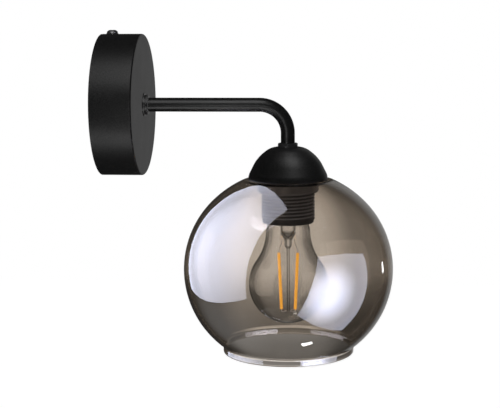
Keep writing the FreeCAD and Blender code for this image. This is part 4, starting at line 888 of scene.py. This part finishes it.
# %% [markdown]
# The globe is blown into a mould: an oval a little wider than high, a flat seat with a hole
# for the holder on top, and an open mouth below with a short straight lip. Four arcs make
# the oval. The skin is the outer side, the wall goes inwards, and the cut edges at the hole
# and the lip are melted round by a bevel.

# %% Globe
GLOBE_MIDDLE = -118.0
OVAL_SHIFT = 6.316
SIDE_ARC = 68.684
POLE_ARC = 77.616
SEAT_RISE = 64.6
GLASS_HOLE = 20.2
MOUTH_RADIUS = 47.0
LIP_HEIGHT = 4.8
NECK_FILLET = 2.0
NECK_START = 1.2
SEAT_BEVEL, LIP_BEVEL = 1.3, 0.9
ARCS_MEET = 45


def make_globe():
    seat_start = math.degrees(math.asin((SEAT_RISE + OVAL_SHIFT) / POLE_ARC))
    mouth_end = -math.degrees(math.acos(MOUTH_RADIUS / POLE_ARC))
    profile = [(GLASS_HOLE, SEAT_RISE)]
    profile += arc(0, -OVAL_SHIFT, POLE_ARC, seat_start, ARCS_MEET, steps=8)
    profile += arc(OVAL_SHIFT, 0, SIDE_ARC, ARCS_MEET, -ARCS_MEET, steps=36)[1:]
    profile += arc(0, OVAL_SHIFT, POLE_ARC, -ARCS_MEET, mouth_end + NECK_START, steps=4)[1:]
    neck_level = OVAL_SHIFT - math.sqrt(POLE_ARC**2 - MOUTH_RADIUS**2)
    lip_level = neck_level - LIP_HEIGHT
    profile += [(MOUTH_RADIUS, neck_level), (MOUTH_RADIUS, lip_level)]
    profile = rounded(profile, {len(profile) - 2: NECK_FILLET}, steps=10)
    globe = turned("globe_glass", profile, base=(LAMP_X, 0, GLOBE_MIDDLE))
    seat = GLOBE_MIDDLE + SEAT_RISE
    lip = GLOBE_MIDDLE + lip_level

    def on_seat_edge(place):
        from_axis = math.hypot(place.x - LAMP_X, place.y)
        return place.z > seat - TOUCH and from_axis > GLASS_HOLE + TOUCH

    def on_lip(place):
        return abs(place.z - lip) < TOUCH

    eased(globe, on_seat_edge, SEAT_BEVEL, segments=6)
    walled(globe, GLASS_WALL)
    eased(globe, on_lip, LIP_BEVEL, segments=5)
    finished(globe, finishes["smoked_glass"], "globe_shade")


make_globe()

# %% [markdown]
# The bulb's glass is thinner: a ball that runs through a hollow shoulder into a slim neck,
# which is cemented into the cap. It is turned from the cap down to the pole, where the last
# ring is merged to one point, so that the glass is closed.

# %% Bulb glass
BALL_MIDDLE = -129.0
BALL_RADIUS = 28.5
SHOULDER_RADIUS = 40.0
NECK_RADIUS = 15.8
CAP_GLASS_RADIUS = 13.0
CAP_GLASS_TOP, CAP_GLASS_END = 53.0, 50.7
BULB_WALL = 0.9
BULB_STEPS = 128
LAST_RING_ANGLE = -88


def make_bulb_glass():
    reach = NECK_RADIUS + SHOULDER_RADIUS
    lean = math.degrees(math.acos(reach / (BALL_RADIUS + SHOULDER_RADIUS)))
    rise = math.sqrt((BALL_RADIUS + SHOULDER_RADIUS) ** 2 - reach**2)
    profile = [(CAP_GLASS_RADIUS, CAP_GLASS_TOP), (CAP_GLASS_RADIUS, CAP_GLASS_END)]
    profile += arc(reach, rise, SHOULDER_RADIUS, 180, 180 + lean, steps=16)
    profile += arc(0, 0, BALL_RADIUS, lean, LAST_RING_ANGLE, steps=40)[1:]
    profile.append((0, -BALL_RADIUS))
    bulb = turned("bulb_balloon", profile, base=(LAMP_X, 0, BALL_MIDDLE), steps=BULB_STEPS)
    finished(walled(bulb, BULB_WALL), finishes["clear_glass"], "bulb_glass")


make_bulb_glass()

# %% [markdown]
# The stem is a clear tube with a flared foot. Its lower end is pressed together round the
# lead wires, and a solid rod goes on down to hold the light rods. The outside and the bore
# are turned as two skins that share the foot's inner edge, and merging that edge makes one
# closed body of them.

# %% Stem
STEM_TOP, STEM_BOTTOM = -77.4, -150.4
STEM_FLARE, STEM_RADIUS, PRESS_RADIUS = 11.6, 5.4, 2.6
STEM_ROD_RADIUS = 1.1
STEM_WALL = 0.7
LEVEL_DROPS = (4.0, 15.0, 19.5, 24.0, 26.0)
FLARE_END, TUBE_END, PRESS_START, PRESS_END, ROD_START = (STEM_TOP - drop for drop in LEVEL_DROPS)
STEM_TIP = 0.6
STEM_ROUNDINGS = {2: 2.5, 3: 2.5, 4: 2.0, 5: 1.5, 6: 1.5}
BORE_NARROWS, BORE_END = STEM_TOP - 14.0, -96.0
BORE_ROUNDINGS = {1: 2.5, 2: 4.0}
STEM_STEPS = 48


def make_stem():
    foot_edge = (STEM_FLARE - STEM_WALL, STEM_TOP)
    outside = [
        foot_edge,
        (STEM_FLARE, STEM_TOP),
        (STEM_RADIUS, FLARE_END),
        (STEM_RADIUS, TUBE_END),
        (PRESS_RADIUS, PRESS_START),
        (PRESS_RADIUS, PRESS_END),
        (STEM_ROD_RADIUS, ROD_START),
        (STEM_ROD_RADIUS, STEM_BOTTOM + STEM_TIP),
        (0, STEM_BOTTOM),
    ]
    bore_radius = STEM_RADIUS - STEM_WALL
    bore = [foot_edge, (bore_radius, FLARE_END), (bore_radius, BORE_NARROWS), (0, BORE_END)]
    tube_profile = rounded(outside, STEM_ROUNDINGS, steps=6)
    bore_profile = rounded(bore, BORE_ROUNDINGS, steps=6)
    stem = turned("stem_tube", tube_profile, base=(LAMP_X, 0, 0), steps=STEM_STEPS)
    hollow = turned("stem_bore", bore_profile, base=(LAMP_X, 0, 0), steps=STEM_STEPS)
    only(stem)
    hollow.select_set(True)
    bpy.ops.object.join()
    bpy.ops.object.mode_set(mode="EDIT")
    bpy.ops.mesh.select_all(action="SELECT")
    bpy.ops.mesh.remove_doubles(threshold=WELD * MM)
    bpy.ops.mesh.normals_make_consistent(inside=False)
    bpy.ops.object.mode_set(mode="OBJECT")
    finished(stem, finishes["stem_glass"], "bulb_stem")


make_stem()

# %% [markdown]
# Two light rods hang in the bulb, slightly closer at the bottom. A rod is a thin cylinder
# with rounded ends, added at its place and tilt on one side of the lamp's axis, and the
# same steps on the other side make its twin.

# %% Light rods
ROD_RADIUS = 1.1
ROD_BEVEL = 0.6
ROD_TOP, ROD_BOTTOM = Vector((6.8, 0, -106.5)), Vector((5.0, 0, -148.0))


def make_rod(side):
    top = Vector((LAMP_X + side * ROD_TOP.x, 0, ROD_TOP.z))
    bottom = Vector((LAMP_X + side * ROD_BOTTOM.x, 0, ROD_BOTTOM.z))
    along = top - bottom
    bpy.ops.object.select_all(action="DESELECT")
    bpy.ops.mesh.primitive_cylinder_add(
        vertices=24,
        radius=ROD_RADIUS * MM,
        depth=along.length * MM,
        location=(top + bottom) / 2 * MM,
        rotation=UP.rotation_difference(along).to_euler(),
    )
    rod = bpy.context.object
    bpy.ops.object.transform_apply(location=True, rotation=True, scale=True)
    return modified(rod, "BEVEL", width=ROD_BEVEL * MM, segments=4, limit_method="ANGLE")


def make_rods():
    left, right = make_rod(-1), make_rod(1)
    only(left)
    right.select_set(True)
    bpy.ops.object.join()
    left.name = left.data.name = "light_rods"
    finished(left, finishes["filament_yellow"], "bulb_filaments")


make_rods()

# %% [markdown]
# The remaining pieces have their true shape in CAD already: threads, nuts, screws, wires
# and the small parts inside. Each gets a copy with its triangles joined, because a shiny
# surface shows every facet until its normals run smoothly across the curved faces. The
# ring shares the thread's finish, with its painted shade and painted highlight.

# %% Remaining pieces
SPECIAL_FINISH = {"holder_body": "holder_thread", "shade_ring": "holder_thread"}
replaced = {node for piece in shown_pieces() for node in piece.get("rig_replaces", [])}
for node in sorted(set(nodes_of_cad) - replaced):
    finished(merged_copy(node), finishes[SPECIAL_FINISH.get(node, slot_of[node])], node)

# %% [markdown]
# The last cell closes the script and prints that the scene is finished.

# %% Finish
print("scene finished")
